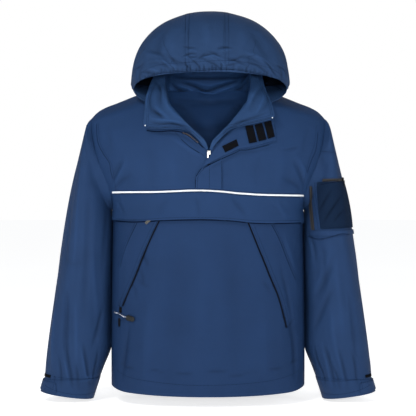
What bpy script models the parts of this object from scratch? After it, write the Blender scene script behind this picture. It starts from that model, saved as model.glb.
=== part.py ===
"""Hooded pullover anorak, filled out as if worn, with nobody in it.

Metres, +Z up, +X to the wearer's left, front towards -Y. Z = 0 is 3 cm below the side of the neck.
Every panel is a wall of cloth: a grid of outer points, and the same points moved in by the wall.
Panels that meet share their seam points and normals, and each is drawn back half of SEAM_GAP.
"""
import math

import bmesh
import bpy
import numpy as np
from mathutils import Matrix, Vector
from mathutils.bvhtree import BVHTree

# ---------------------------------------------------------------- sizes
WALL = 0.0016            # cloth with its seam allowance and lining side
THIN_WALL = 0.0012       # tapes, bindings, patches
SEAM_GAP = 0.0004
OFF_EDGE = 0.00002       # keeps a search line off the panels' own edges
LAY_GAP = 0.0008         # between a panel and what lies on it

SHOULDER_X = 0.278
SHOULDER_Z = -0.046
NECK_SIDE_X = 0.119
NECK_SIDE_Z = 0.030
NECK_RISE_X = 0.120      # inside this the shoulder line rises on to the neck
SHOULDER_SLOPE = 0.405
UNDERARM_Z = -0.262
HEM_Z = -0.693           # centre front
HEM_SIDE_RISE = 0.007
HEM_ROUND_X = 0.190      # where the hem starts to turn up into the side seam
HEM_ROUND = 0.0085
ZIP_X = 0.002            # the front zip, a touch off centre
V_BOTTOM_Z = -0.126      # where the open zip's slider stands

FRONT_DEPTH = 0.135
BACK_DEPTH = 0.124
FRONT_ROUND = 0.24       # height over which the chest rounds back to the shoulder seam
BACK_ROUND = 0.15
SECTION_POWER = 2.4

PIPING_LINE = (
    # x, z of the seam between the yokes and the lower front
    (-0.230, -0.2253), (-0.133, -0.2253), (-0.087, -0.2241), (-0.034, -0.2219), (-0.018, -0.2218),
    (0.028, -0.2241), (0.074, -0.2287), (0.142, -0.2321), (0.230, -0.2329),
)
FLAP_DROP = 0.0615

COLUMNS = 11             # panel columns from the zip to the side
ARM_STEPS = 24           # points round a sleeve
SIDE_SHARES = (0.12, 0.45, 1.0)   # the rows' heights between the underarm and the piping

CLOTH = ("shell_cloth", (0.022, 0.050, 0.135, 1.0), 0.62, 0.0)
MESH = ("pocket_mesh", (0.010, 0.024, 0.055, 1.0), 0.85, 0.0)
REFLECTIVE = ("reflective_piping", (0.90, 0.91, 0.92, 1.0), 0.35, 0.0)
HOOK_LOOP = ("hook_and_loop", (0.006, 0.006, 0.008, 1.0), 0.95, 0.0)
ZIP_TAPE = ("zip_tape", (0.030, 0.034, 0.045, 1.0), 0.70, 0.0)
ZIP_METAL = ("zip_metal", (0.78, 0.78, 0.76, 1.0), 0.25, 1.0)
ZIP_BLACK = ("zip_black", (0.012, 0.012, 0.014, 1.0), 0.40, 0.2)
CORD = ("pull_cord", (0.10, 0.13, 0.22, 1.0), 0.80, 0.0)
GRIP = ("pull_grip", (0.05, 0.055, 0.06, 1.0), 0.50, 0.0)

# Half widths of the chest's sections. Above the underarm the section runs on into the arm.
CHEST_SECTIONS = (
    # z, half_width
    (-0.700, 0.2295), (-0.600, 0.2300), (-0.450, 0.2288), (-0.300, 0.2262), (-0.262, 0.2255),
    (-0.222, 0.2470), (-0.180, 0.2660), (-0.137, 0.2830), (-0.090, 0.2920), (-0.040, 0.2950), (0.080, 0.2950),
)
# The armhole seam, the same from the front and from the back.
ARMHOLE = (
    # z, x
    (-0.262, 0.2255), (-0.250, 0.2262), (-0.2245, 0.2295), (-0.195, 0.2390), (-0.160, 0.2540),
    (-0.125, 0.2660), (-0.090, 0.2745), (-0.060, 0.2782), (-0.046, 0.2780),
)
# The edge of the open front, from the zip's foot up to the side of the neck.
NECK_EDGE = (
    # z, distance from the zip line
    (-0.126, 0.0), (-0.1076, 0.018), (-0.0905, 0.038), (-0.0755, 0.0575), (-0.057, 0.078), (-0.036, 0.098),
    (-0.0135, 0.110), (0.0075, 0.116), (0.030, 0.119),
)
# Soft troughs and ridges that stay in the hanging cloth.
FRONT_FOLDS = (
    # x0, z0, x1, z1, width, depth
    (-0.150, -0.300, -0.172, -0.480, 0.020, 0.0030),
    (-0.055, -0.330, -0.075, -0.640, 0.035, 0.0030),
    (0.060, -0.320, 0.085, -0.650, 0.035, 0.0030),
    (0.160, -0.300, 0.190, -0.500, 0.020, 0.0030),
    (-0.200, -0.480, -0.196, -0.660, 0.018, 0.0035),
    (0.205, -0.470, 0.200, -0.660, 0.018, 0.0035),
    (-0.215, -0.175, -0.170, -0.205, 0.014, 0.0030),
    (0.215, -0.170, 0.175, -0.200, 0.014, 0.0030),
)
BACK_FOLDS = (
    # x0, z0, x1, z1, width, depth
    (-0.110, -0.260, -0.130, -0.640, 0.035, 0.0040),
    (0.020, -0.300, 0.010, -0.650, 0.040, 0.0035),
    (0.125, -0.250, 0.140, -0.630, 0.035, 0.0040),
    (-0.210, -0.200, -0.120, -0.230, 0.018, 0.0035),
    (0.210, -0.195, 0.125, -0.235, 0.018, 0.0035),
)


# ---------------------------------------------------------------- small tools
def read_table(rows, at, column=1):
    """A smooth value from a table whose first column rises."""
    keys = [row[0] for row in rows]
    values = [row[column] for row in rows]
    if at <= keys[0]:
        return values[0]
    if at >= keys[-1]:
        return values[-1]
    k = max(i for i in range(len(keys) - 1) if keys[i] <= at)
    width = keys[k + 1] - keys[k]
    t = (at - keys[k]) / width

    def slope(i):
        if i in (0, len(keys) - 1):
            j = min(i, len(keys) - 2)
            return (values[j + 1] - values[j]) / (keys[j + 1] - keys[j])
        left = (values[i] - values[i - 1]) / (keys[i] - keys[i - 1])
        right = (values[i + 1] - values[i]) / (keys[i + 1] - keys[i])
        return 0.0 if left * right <= 0 else 2 * left * right / (left + right)

    a, b = slope(k) * width, slope(k + 1) * width
    return (
        values[k] * (2 * t**3 - 3 * t**2 + 1) + a * (t**3 - 2 * t**2 + t)
        + values[k + 1] * (3 * t**2 - 2 * t**3) + b * (t**3 - t**2)
    )


def smooth_path(points, count):
    """Catmull-Rom through the points, at count + 1 even steps of the parameter."""
    points = [np.array(p, float) for p in points]
    ends = [2 * points[0] - points[1]] + points + [2 * points[-1] - points[-2]]
    out = []
    for i in range(count + 1):
        at = i / count * (len(points) - 1)
        k = min(int(at), len(points) - 2)
        t = at - k
        a, b, c, d = ends[k:k + 4]
        out.append(0.5 * (2 * b + (c - a) * t + (2 * a - 5 * b + 4 * c - d) * t**2 + (3 * b - a - 3 * c + d) * t**3))
    return out


def fold_depth(rows, x, z):
    """How far the folds of a table draw the cloth in at x, z."""
    total = 0.0
    for x0, z0, x1, z1, width, depth in rows:
        dx, dz = x1 - x0, z1 - z0
        length2 = dx * dx + dz * dz
        along = ((x - x0) * dx + (z - z0) * dz) / length2
        aside = ((x - x0) * dz - (z - z0) * dx) / math.sqrt(length2)
        end = max(0.0, min(1.0, 1.6 - abs(2 * along - 1) * 1.2))
        total += depth * math.exp(-((aside / width) ** 2)) * end * end * (3 - 2 * end)
    return total


def shoulder_z(x):
    """The shoulder line, seen from the front, at a distance x from the middle."""
    x = abs(x)
    if x < NECK_RISE_X:
        return NECK_SIDE_Z + 0.42 * (NECK_RISE_X - x)
    z = NECK_SIDE_Z - SHOULDER_SLOPE * (x - NECK_RISE_X)
    return z - 0.0120 * max(0.0, (x - 0.250) / 0.028) ** 2


def body_y(x, z, depth, rounding, folds):
    """How far a panel stands from the middle plane of the body at x, z."""
    half = read_table(CHEST_SECTIONS, z)
    side = max(0.0, 1 - min(1.0, abs(x) / half) ** SECTION_POWER) ** (1 / SECTION_POWER)
    t = min(1.0, max(0.0, (shoulder_z(x) - z) / rounding))
    top = math.sqrt(max(0.0, 1 - (1 - t) ** 2))
    return max(0.0, depth * side * top - fold_depth(folds, x, z) * min(1.0, 3 * side * top))


def front_point(x, z):
    return Vector((x, -body_y(x, z, FRONT_DEPTH, FRONT_ROUND, FRONT_FOLDS), z))


def back_point(x, z):
    return Vector((x, body_y(x, z, BACK_DEPTH, BACK_ROUND, BACK_FOLDS), z))


def piping_z(x):
    return read_table(PIPING_LINE, x)


def hem_z(x):
    rounding = max(0.0, (abs(x) - HEM_ROUND_X) / (0.23 - HEM_ROUND_X))
    return HEM_Z + HEM_SIDE_RISE * (x / 0.23) ** 2 + HEM_ROUND * rounding ** 2


# ---------------------------------------------------------------- materials and meshes
def material(spec):
    name, colour, roughness, metallic = spec
    found = bpy.data.materials.get(name)
    if found:
        return found
    made = bpy.data.materials.new(name)
    made.use_nodes = True
    shader = made.node_tree.nodes["Principled BSDF"]
    shader.inputs["Base Color"].default_value = colour
    shader.inputs["Roughness"].default_value = roughness
    shader.inputs["Metallic"].default_value = metallic
    made.diffuse_color = colour
    return made


def add_object(name, vertices, faces, spec, smooth=True):
    mesh = bpy.data.meshes.new(name)
    mesh.from_pydata([tuple(v) for v in vertices], [], faces)
    mesh.validate()
    work = bmesh.new()
    work.from_mesh(mesh)
    bmesh.ops.recalc_face_normals(work, faces=work.faces)
    if work.calc_volume(signed=True) < 0:
        bmesh.ops.reverse_faces(work, faces=work.faces)
    work.to_mesh(mesh)
    work.free()
    if smooth:
        mesh.shade_smooth()
        mesh.set_sharp_from_angle(angle=math.radians(50))
    mesh.materials.append(material(spec))
    made = bpy.data.objects.new(name, mesh)
    bpy.context.scene.collection.objects.link(made)
    return made


def key_of(p):
    return tuple(round(c * 1e5) for c in p)


def add_face_normals(table, grid, ring, outward):
    """Adds each face's normal to its corners. outward(p) is a rough way out of the garment there."""
    rows, cols = len(grid), len(grid[0])
    for r in range(rows - 1):
        for c in range(cols if ring else cols - 1):
            quad = [grid[r][c], grid[r][(c + 1) % cols], grid[r + 1][(c + 1) % cols], grid[r + 1][c]]
            normal = (quad[2] - quad[0]).cross(quad[3] - quad[1])
            middle = (quad[0] + quad[1] + quad[2] + quad[3]) / 4
            if normal.dot(outward(middle)) < 0:
                normal = -normal
            for p in quad:
                table.setdefault(key_of(p), Vector((0, 0, 0)))
                table[key_of(p)] += normal


def seam_allowance(p):
    """Half the gap at a seam, wider where the cloth folds back on itself: the underarm, the shoulder's tip."""
    reach = abs(p.x)
    if p.z < -0.240 and 0.222 < reach < 0.235 and p.z > -0.275:
        return 0.0017
    if p.z > -0.062 and reach > 0.270:
        return 0.0007
    return SEAM_GAP / 2


def drawn_back(grid, edges, ring=False):
    """The grid with its named edges moved in along the cloth."""
    out = [[p.copy() for p in row] for row in grid]
    rows, cols = len(grid), len(grid[0])

    def shift(r, c, r2, c2):
        way = grid[r2][c2] - grid[r][c]
        if way.length > 1e-7:
            out[r][c] += way.normalized() * seam_allowance(grid[r][c])

    if "first_row" in edges:
        for c in range(cols):
            shift(0, c, 1, c)
    if "last_row" in edges:
        for c in range(cols):
            shift(rows - 1, c, rows - 2, c)
    if not ring:
        for r in range(rows):
            if "first_column" in edges:
                shift(r, 0, r, 1)
            if "last_column" in edges:
                shift(r, cols - 1, r, cols - 2)
    return out


def wall_between(name, outer, inner, spec, ring=False):
    """A closed wall from two grids of the same size. A ring's rows close on themselves."""
    rows, cols = len(outer), len(outer[0])
    points = [p for row in outer for p in row] + [p for row in inner for p in row]
    half = rows * cols
    faces = []
    for r in range(rows - 1):
        for c in range(cols if ring else cols - 1):
            a, b = r * cols + c, r * cols + (c + 1) % cols
            d, e = a + cols, b + cols
            faces.append((a, b, e, d))
            faces.append((half + a, half + d, half + e, half + b))
    loops = []
    for c in range(cols if ring else cols - 1):
        loops.append((c, (c + 1) % cols))
        last = (rows - 1) * cols
        loops.append((last + (c + 1) % cols, last + c))
    if not ring:
        for r in range(rows - 1):
            loops.append(((r + 1) * cols, r * cols))
            loops.append((r * cols + cols - 1, (r + 1) * cols + cols - 1))
    faces += [(b, a, half + a, half + b) for a, b in loops]
    return add_object(name, points, faces, spec)


def moved(grid, normals, amount):
    return [[p + n * amount for p, n in zip(row, nrow)] for row, nrow in zip(grid, normals)]


def wound_normals(grid, towards):
    """Normals that follow the grid's own winding, so that they stay on one side through tight folds."""
    rows, cols = len(grid), len(grid[0])
    normals = [[Vector((0, 0, 0)) for _ in range(cols)] for _ in range(rows)]
    agreed = 0.0
    for r in range(rows - 1):
        for c in range(cols - 1):
            corners = [(r, c), (r, c + 1), (r + 1, c + 1), (r + 1, c)]
            quad = [grid[i][j] for i, j in corners]
            normal = (quad[2] - quad[0]).cross(quad[3] - quad[1])
            agreed += normal.dot(towards((quad[0] + quad[2]) / 2))
            for i, j in corners:
                normals[i][j] += normal
    sign = 1.0 if agreed > 0 else -1.0
    return [[n.normalized() * sign for n in row] for row in normals]


def grid_normals(grid, outward, ring=False):
    table = {}
    add_face_normals(table, grid, ring, outward)
    return [[table[key_of(p)].normalized() for p in row] for row in grid]


def block(name, size, centre, spec, bevel=0.0006, turn=(0, 0, 0), hang=0.0):
    """A small hard piece: a box with its edges bevelled. hang is how far its middle lies under its origin."""
    work = bmesh.new()
    bmesh.ops.create_cube(work, size=1.0, matrix=Matrix.Diagonal((*size, 1.0)))
    bmesh.ops.bevel(
        work, geom=work.edges[:], offset=bevel, offset_type="OFFSET", segments=1, profile=0.5,
        affect="EDGES", material=-1,
    )
    bmesh.ops.translate(work, verts=work.verts[:], vec=(0, 0, -hang))
    mesh = bpy.data.meshes.new(name)
    work.to_mesh(mesh)
    work.free()
    mesh.materials.append(material(spec))
    made = bpy.data.objects.new(name, mesh)
    bpy.context.scene.collection.objects.link(made)
    made.location = centre
    made.rotation_euler = turn
    return made


# ---------------------------------------------------------------- body panels
def armhole_x(z):
    return read_table(ARMHOLE, z) if z > UNDERARM_Z else read_table(CHEST_SECTIONS, z)


def side_levels():
    """Heights of the rows at the side: the hem up to the underarm, and on up the armhole."""
    half = ARM_STEPS // 2
    hem = hem_z(0.23)
    below = [hem + (UNDERARM_Z - hem) * (r / 10) for r in range(11)]
    armhole = []
    for side in (-1, 1):
        piping = piping_z(side * 0.2295)
        low = [UNDERARM_Z + (piping - UNDERARM_Z) * share for share in SIDE_SHARES]
        steps = half - 3
        high = [
            piping + (SHOULDER_Z - piping) * (0.5 - 0.5 * math.cos(math.pi * (0.12 + 0.88 * r / steps)))
            for r in range(1, steps + 1)
        ]
        high[0] = (piping + high[0]) / 2 + 0.004
        armhole.append(low + high)
    return below, {-1: armhole[0], 1: armhole[1]}


def column_share(c):
    return math.sin(math.pi / 2 * c / COLUMNS)


def lower_front_grid(below, armhole):
    """Rows from the hem to the piping, columns from the right side of the body (-X) to the left."""
    grid = []
    steps = len(below) + 3
    for r in range(steps):
        row = []
        for side, cs in ((-1, range(COLUMNS, 0, -1)), (1, range(0, COLUMNS + 1))):
            level = below[r] if r < len(below) else armhole[side][r - len(below)]
            reach = armhole_x(level)
            for c in cs:
                x = ZIP_X + (side * reach - ZIP_X) * column_share(c)
                if r < len(below):
                    t = r / (len(below) - 1)
                    z = hem_z(x) * (1 - t) + UNDERARM_Z * t
                elif r == steps - 1:
                    z = piping_z(x)
                else:
                    z = UNDERARM_Z + (piping_z(x) - UNDERARM_Z) * SIDE_SHARES[r - len(below)]
                if c == COLUMNS:
                    z = level
                row.append(front_point(x, z) if c < COLUMNS or r >= len(below) else Vector((x, 0, z)))
        grid.append(row)
    underarm = grid[len(below) - 1]
    underarm[0].y = underarm[-1].y = 0.0
    return grid


def yoke_grid(side, armhole):
    """Rows from the piping to the shoulder seam, columns from the zip or neck edge to the armhole."""
    outer = armhole[side][2:]
    zip_rows = 3
    neck_rows = len(outer) - 1 - zip_rows
    grid = []
    for r, level in enumerate(outer):
        if r <= zip_rows:
            t = r / zip_rows
            inner_z = piping_z(ZIP_X) * (1 - t) + V_BOTTOM_Z * t
            inner_x = ZIP_X
        else:
            t = (r - zip_rows) / neck_rows
            inner_z = V_BOTTOM_Z + (NECK_SIDE_Z - V_BOTTOM_Z) * t
            inner_x = ZIP_X * (1 - t) + side * read_table(NECK_EDGE, inner_z)
        outer_x = side * armhole_x(level)
        row = []
        for c in range(COLUMNS + 1):
            share = column_share(c)
            x = inner_x + (outer_x - inner_x) * share
            z = piping_z(x) if r == 0 else inner_z + (level - inner_z) * share
            if c == COLUMNS:
                z = level
            if r == len(outer) - 1:
                row.append(Vector((x, 0, shoulder_z(x) if 0 < c < COLUMNS else z)))
            else:
                row.append(front_point(x, z))
        grid.append(row)
    return grid


BACK_NECK = (
    # share of the way from the middle to the side of the neck: y, z
    (0.0, 0.086, 0.028), (0.35, 0.081, 0.029), (0.65, 0.062, 0.031), (0.85, 0.036, 0.0315), (1.0, 0.0, 0.030),
)


def back_neck_point(x):
    share = abs(x) / NECK_SIDE_X
    return Vector((x, read_table(BACK_NECK, share, 1), read_table(BACK_NECK, share, 2)))


def back_grid(below, armhole):
    """Rows from the hem to the shoulder seams and the neck, columns from -X to +X."""
    neck_columns = 5
    grid = []
    rows = len(below) + len(armhole[1])
    half_shares = [column_share(c) for c in range(COLUMNS + 1)]
    for r in range(rows):
        row = []
        for side, cs in ((-1, range(COLUMNS, 0, -1)), (1, range(0, COLUMNS + 1))):
            for c in cs:
                up = r - len(below)
                level = below[r] if up < 0 else armhole[side][up]
                outer_x = armhole_x(level)
                if up < 0:
                    t = r / (len(below) - 1)
                    x = side * outer_x * half_shares[c]
                    z = hem_z(x) * (1 - t) + UNDERARM_Z * t
                    if c == COLUMNS:
                        z = level
                else:
                    t = (level - UNDERARM_Z) / (SHOULDER_Z - UNDERARM_Z)
                    if c <= neck_columns:
                        top_x = NECK_SIDE_X * c / neck_columns
                        top_z = back_neck_point(top_x).z
                    else:
                        share = (c - neck_columns) / (COLUMNS - neck_columns)
                        top_x = NECK_SIDE_X + (SHOULDER_X - NECK_SIDE_X) * share
                        top_z = shoulder_z(top_x) if c < COLUMNS else SHOULDER_Z
                    bend = t**1.5
                    x = side * (outer_x * half_shares[c] * (1 - bend) + top_x * outer_x / SHOULDER_X * bend)
                    if c == COLUMNS:
                        x = side * outer_x
                    z = UNDERARM_Z + (top_z - UNDERARM_Z) * t
                    if c == COLUMNS:
                        z = level
                if up == len(armhole[1]) - 1:
                    if c <= neck_columns:
                        p = back_neck_point(side * NECK_SIDE_X * c / neck_columns)
                    else:
                        p = Vector((x, 0, z))
                elif c == COLUMNS and up < 0:
                    p = Vector((side * outer_x, 0, z))
                else:
                    p = back_point(x, z)
                row.append(p)
        grid.append(row)
    return grid


def match_shoulders(back, yokes):
    """Gives the back's shoulder row the yokes' own points, so the seam closes."""
    top = back[-1]
    middle = COLUMNS
    for side in (-1, 1):
        yoke = yokes[side][-1]
        for c in range(6, COLUMNS + 1):
            target_x = abs(top[middle + side * c].x)
            row = [(abs(p.x), p) for p in yoke]
            for (xa, pa), (xb, pb) in zip(row, row[1:]):
                if xa <= target_x <= xb:
                    t = (target_x - xa) / (xb - xa)
                    point = pa.lerp(pb, t)
                    top[middle + side * c] = Vector((side * target_x, 0, point.z))


# ---------------------------------------------------------------- sleeves
SLEEVE_RINGS = (
    # inner_x, inner_z, outer_x, outer_z, half_depth, middle_y, bow
    (0.2318, -0.2650, 0.2880, -0.0590, 0.0600, 0.000, 0.0130),
    (0.2312, -0.2800, 0.2960, -0.0920, 0.0670, 0.000, 0.0150),
    (0.2308, -0.2990, 0.3075, -0.1380, 0.0730, 0.000, 0.0120),
    (0.2306, -0.3235, 0.3195, -0.1930, 0.0770, 0.000, 0.0070),
    (0.2308, -0.3540, 0.3320, -0.2580, 0.0790, 0.000, 0.0030),
    (0.2314, -0.3930, 0.3445, -0.3290, 0.0790, 0.000, 0.0),
    (0.2321, -0.4400, 0.3570, -0.4020, 0.0770, 0.000, 0.0),
    (0.2327, -0.4900, 0.3675, -0.4700, 0.0750, 0.000, 0.0),
    (0.2332, -0.5400, 0.3765, -0.5330, 0.0730, -0.002, 0.0),
    (0.2338, -0.5900, 0.3840, -0.5920, 0.0690, -0.004, 0.0),
    (0.2465, -0.6270, 0.3875, -0.6350, 0.0630, -0.006, 0.0),
    (0.2590, -0.6600, 0.3885, -0.6635, 0.0560, -0.008, 0.0),
)
SLEEVE_FOLDS = (
    # angle_deg from the outer side towards the front, first ring, last ring, width_deg, depth
    (35, 2.0, 9.0, 14, 0.0040),
    (72, 4.0, 11.5, 11, 0.0045),
    (118, 3.0, 11.0, 14, 0.0040),
    (-40, 2.5, 10.5, 15, 0.0040),
    (-95, 3.5, 11.5, 13, 0.0045),
    (-140, 4.0, 11.0, 13, 0.0035),
    (165, 6.0, 11.5, 12, 0.0025),
    (8, 5.0, 11.5, 11, 0.0030),
)
RING_POWER = 2.3
LEANING_RINGS = range(1, 10)
SLEEVE_LEAN = 0.0060     # how far the inner side leans in behind the body's side


def sleeve_ring(side, spec, level, leans=False):
    """One ring of a sleeve: from the outer side (0 degrees) by the front (90) to the inner side (180)."""
    inner_x, inner_z, outer_x, outer_z, depth, middle_y, bow = spec
    ring = []
    for j in range(ARM_STEPS):
        angle = 2 * math.pi * j / ARM_STEPS
        c, s = math.cos(angle), math.sin(angle)
        across = math.copysign(abs(c) ** (2 / RING_POWER), c)
        deep = math.copysign(abs(s) ** (2 / RING_POWER), s)
        pull = 1.0
        degrees = math.degrees(angle)
        for at, first, last, width, fold in SLEEVE_FOLDS:
            off = (degrees - at + 180) % 360 - 180
            share = (level - first) / (last - first)
            if 0 < share < 1:
                window = math.sin(math.pi * share) ** 0.7
                pull -= fold / depth * math.exp(-((off / width) ** 2)) * window
        x = (inner_x + outer_x) / 2 + (outer_x - inner_x) / 2 * across * pull + bow * s * s
        if c < -0.5:
            x = max(x, inner_x)
        if c < 0 and s < 0 and leans:
            x -= SLEEVE_LEAN * 2 * s * c
        z = (inner_z + outer_z) / 2 + (outer_z - inner_z) / 2 * across * pull
        ring.append(Vector((side * x, middle_y - depth * deep * pull, z)))
    return ring


def sleeve_grid(side, front_loop, back_loop):
    """The armhole's own points come first: from the shoulder down the front, and up the back."""
    loop = [p.copy() for p in front_loop] + [p.copy() for p in back_loop]
    rings = [sleeve_ring(side, spec, k + 1, k in LEANING_RINGS) for k, spec in enumerate(SLEEVE_RINGS)]
    return [loop] + rings


CUFF_LEVELS = (
    # inner_x, inner_z, outer_x, outer_z, half_depth
    (0.2590, -0.6605, 0.3890, -0.6640, 0.0570),
    (0.2600, -0.6660, 0.3915, -0.6690, 0.0590),
    (0.2680, -0.6900, 0.3955, -0.6830, 0.0570),
    (0.2745, -0.7110, 0.3985, -0.6935, 0.0550),
)
CUFF_DROP = 0.0006


def cuff_grid(side):
    rows = []
    for inner_x, inner_z, outer_x, outer_z, depth in CUFF_LEVELS:
        spec = (inner_x, inner_z - CUFF_DROP, outer_x, outer_z - CUFF_DROP, depth, -0.008, 0.0)
        rows.append(sleeve_ring(side, spec, 0))
    return rows


def tube_normals(grid):
    def middle_of(row):
        return sum(row, Vector((0, 0, 0))) / len(row)

    centres = [middle_of(row) for row in grid]

    def outward(p):
        nearest = min(centres, key=lambda c: (c - p).length)
        return p - nearest

    return outward


# ---------------------------------------------------------------- hood
HOOD_ROWS = (
    # apex_y, apex_z, half_width, widest_z, neck_share
    (-0.150, 0.052, 0.1810, 0.0216, 0.00),
    (-0.1485, 0.075, 0.1835, 0.0250, 0.08),
    (-0.140, 0.107, 0.1860, 0.0290, 0.16),
    (-0.124, 0.142, 0.1880, 0.0330, 0.25),
    (-0.098, 0.174, 0.1890, 0.0360, 0.34),
    (-0.062, 0.198, 0.1890, 0.0380, 0.43),
    (-0.018, 0.210, 0.1870, 0.0400, 0.52),
    (0.032, 0.208, 0.1800, 0.0420, 0.60),
    (0.082, 0.188, 0.1690, 0.0440, 0.68),
    (0.124, 0.152, 0.1550, 0.0450, 0.76),
    (0.146, 0.108, 0.1380, 0.0450, 0.84),
    (0.131, 0.068, 0.1220, 0.0440, 0.92),
)
HOOD_MIDDLE_X = 0.0055
HOOD_POWER = 2.2
GUSSET_REACH = {-1: 0.0539, 1: 0.0383}      # from the hood's middle to each of its seams
GUSSET_COLUMNS = 4
CHEEK_COLUMNS = 8
HOOD_SEAT = 0.0024       # height of the hood's lower edge over the panel that it is sewn on
HOOD_TUCK = math.radians(62)
HOOD_CHEEK_TURN = 1.35   # radians of an arch below its widest point
SIDE_FOLLOWS_FOOT = 0.55     # how far forward an arch's widest points stand: a share of its foot's y
SIDE_FOLLOWS_APEX = 0.10     # and a share of its apex's y


def hood_row(spec, foot_left, foot_right):
    """An arch from the foot at -X over the apex to the foot at +X."""
    apex_y, apex_z, half, wide_z, share = spec
    quarter = math.pi / 2
    last = quarter + HOOD_CHEEK_TURN
    sides = {}
    for side, foot in ((-1, foot_left), (1, foot_right)):
        turn_seam = math.asin((GUSSET_REACH[side] / half) ** (HOOD_POWER / 2))
        turns = [turn_seam * c / (GUSSET_COLUMNS / 2) for c in range(GUSSET_COLUMNS // 2 + 1)]
        turns += [turn_seam + (last - turn_seam) * c / CHEEK_COLUMNS for c in range(1, CHEEK_COLUMNS + 1)]
        side_y = foot.y * SIDE_FOLLOWS_FOOT + apex_y * SIDE_FOLLOWS_APEX
        points = []
        for turn in turns:
            if turn <= quarter:
                x = HOOD_MIDDLE_X + side * half * math.sin(turn) ** (2 / HOOD_POWER)
                z = wide_z + (apex_z - wide_z) * max(0.0, math.cos(turn)) ** (2 / HOOD_POWER)
                y = side_y + (apex_y - side_y) * max(0.0, math.cos(turn * 0.98)) ** 0.9
            else:
                down = (turn - quarter) / HOOD_CHEEK_TURN * HOOD_TUCK
                inward = (math.cos(down) - math.cos(HOOD_TUCK)) / (1 - math.cos(HOOD_TUCK))
                lower = math.sin(down) / math.sin(HOOD_TUCK)
                x = foot.x + (HOOD_MIDDLE_X + side * half - foot.x) * inward
                z = wide_z + (foot.z - wide_z) * lower
                y = side_y + (foot.y - side_y) * lower
            points.append(Vector((x, y, z)))
        points[-1] = foot.copy()
        sides[side] = points
    return list(reversed(sides[-1]))[:-1] + sides[1]


# ---------------------------------------------------------------- collar
# Half of the collar, from the zip's foot round to the middle of the back. Each station runs from the
# neck edge, by the roll, to the free edge. Distances from the middle are positive, y to the back.
COLLAR_STATIONS = (
    # name, roll_x, roll_y, roll_z, free_x, free_y, free_z, hollow
    ("zip_foot", 0.0025, -0.1430, -0.1235, 0.0060, -0.1425, -0.1250, 0.000),
    ("zip_low", 0.0092, -0.1450, -0.1055, 0.0185, -0.1440, -0.1090, 0.001),
    ("zip_mid", 0.0250, -0.1430, -0.0890, 0.0360, -0.1400, -0.0905, 0.002),
    ("zip_turn", 0.0415, -0.1390, -0.0730, 0.0545, -0.1340, -0.0800, 0.003),
    ("leaf_start", 0.0550, -0.1340, -0.0570, 0.0860, -0.1270, -0.0765, 0.004),
    ("leaf_low", 0.0710, -0.1260, -0.0385, 0.1180, -0.1210, -0.0775, 0.005),
    ("leaf_corner", 0.0855, -0.1160, -0.0215, 0.1470, -0.1130, -0.0705, 0.006),
    ("leaf_side", 0.0905, -0.1070, -0.0020, 0.1475, -0.1070, -0.0470, 0.006),
    ("leaf_high", 0.0955, -0.0930, 0.0180, 0.1465, -0.0940, -0.0160, 0.006),
    ("leaf_top", 0.0985, -0.0740, 0.0400, 0.1400, -0.0770, 0.0165, 0.006),
    ("turn_up", 0.1000, -0.0490, 0.0600, 0.1270, -0.0560, 0.0530, 0.004),
    ("side", 0.1010, -0.0100, 0.0720, 0.1090, -0.0180, 0.0950, 0.002),
    ("side_back", 0.0960, 0.0380, 0.0700, 0.0990, 0.0370, 0.1040, 0.001),
    ("back_side", 0.0640, 0.0740, 0.0680, 0.0660, 0.0780, 0.1050, 0.001),
    ("back_half", 0.0320, 0.0850, 0.0670, 0.0330, 0.0900, 0.1050, 0.001),
    ("back", 0.0000, 0.0880, 0.0670, 0.0000, 0.0930, 0.1050, 0.001),
)
LEFT_LEAF_SHIFT = {
    # station: sideways, up. The leaf on +X stands higher, and its corner reaches further out.
    "zip_turn": (0.0, 0.0025),
    "leaf_start": (0.0, 0.0075),
    "leaf_low": (0.0020, 0.0165),
    "leaf_corner": (0.0040, 0.0195),
    "leaf_side": (0.0030, 0.0140),
    "leaf_high": (-0.0010, 0.0060),
    "leaf_top": (-0.0050, 0.0),
}
ROLL_FOLLOWS = 0.2       # how much of a leaf's shift its roll takes
COLLAR_ROWS = 7
COLLAR_STEP_IN = 0.0022
COLLAR_START = 0.45


def collar_path(base, way_in, lift, roll, free, hollow):
    """A section of the collar from its seat at the neck edge to its free edge."""
    start = base + way_in * COLLAR_STEP_IN + lift * 0.0006
    low = start + lift * 0.008 + way_in * 0.001
    middle = roll.lerp(free, 0.5) + Vector((0, -hollow, hollow * 0.35))
    return smooth_path([start, low, roll, middle, free], COLLAR_ROWS)


def collar_station(side, row, up):
    """The roll and the free edge of a station. up is 0 at the zip's foot and 1 at the back."""
    name, roll_x, roll_y, roll_z, free_x, free_y, free_z, hollow = row
    shift_x, shift_z = LEFT_LEAF_SHIFT.get(name, (0.0, 0.0)) if side > 0 else (0.0, 0.0)
    middle = ZIP_X * max(0.0, 1 - 2 * up)
    roll = Vector((middle + side * (roll_x + shift_x * ROLL_FOLLOWS), roll_y, roll_z + shift_z * ROLL_FOLLOWS))
    free = Vector((middle + side * (free_x + shift_x), free_y, free_z + shift_z))
    return roll, free, hollow


def collar_seats(yokes, back):
    """The neck edge's points with the way across the edge, from the zip's foot round to the other side."""
    seats = []
    for side in (-1, 1):
        yoke = yokes[side]
        edge = []
        for r in range(3, len(yoke)):
            p = yoke[r][0]
            edge.append((p, (p - yoke[r][1]).normalized()))
        edge[0] = (edge[0][0].lerp(edge[1][0], COLLAR_START), edge[1][1])
        count = 5
        middle = COLUMNS
        for c in range(count - 1, -1, -1):
            p = back[-1][middle + side * c]
            edge.append((p, (p - back[-2][middle + side * c]).normalized()))
        seats.append(edge)
    return seats


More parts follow.
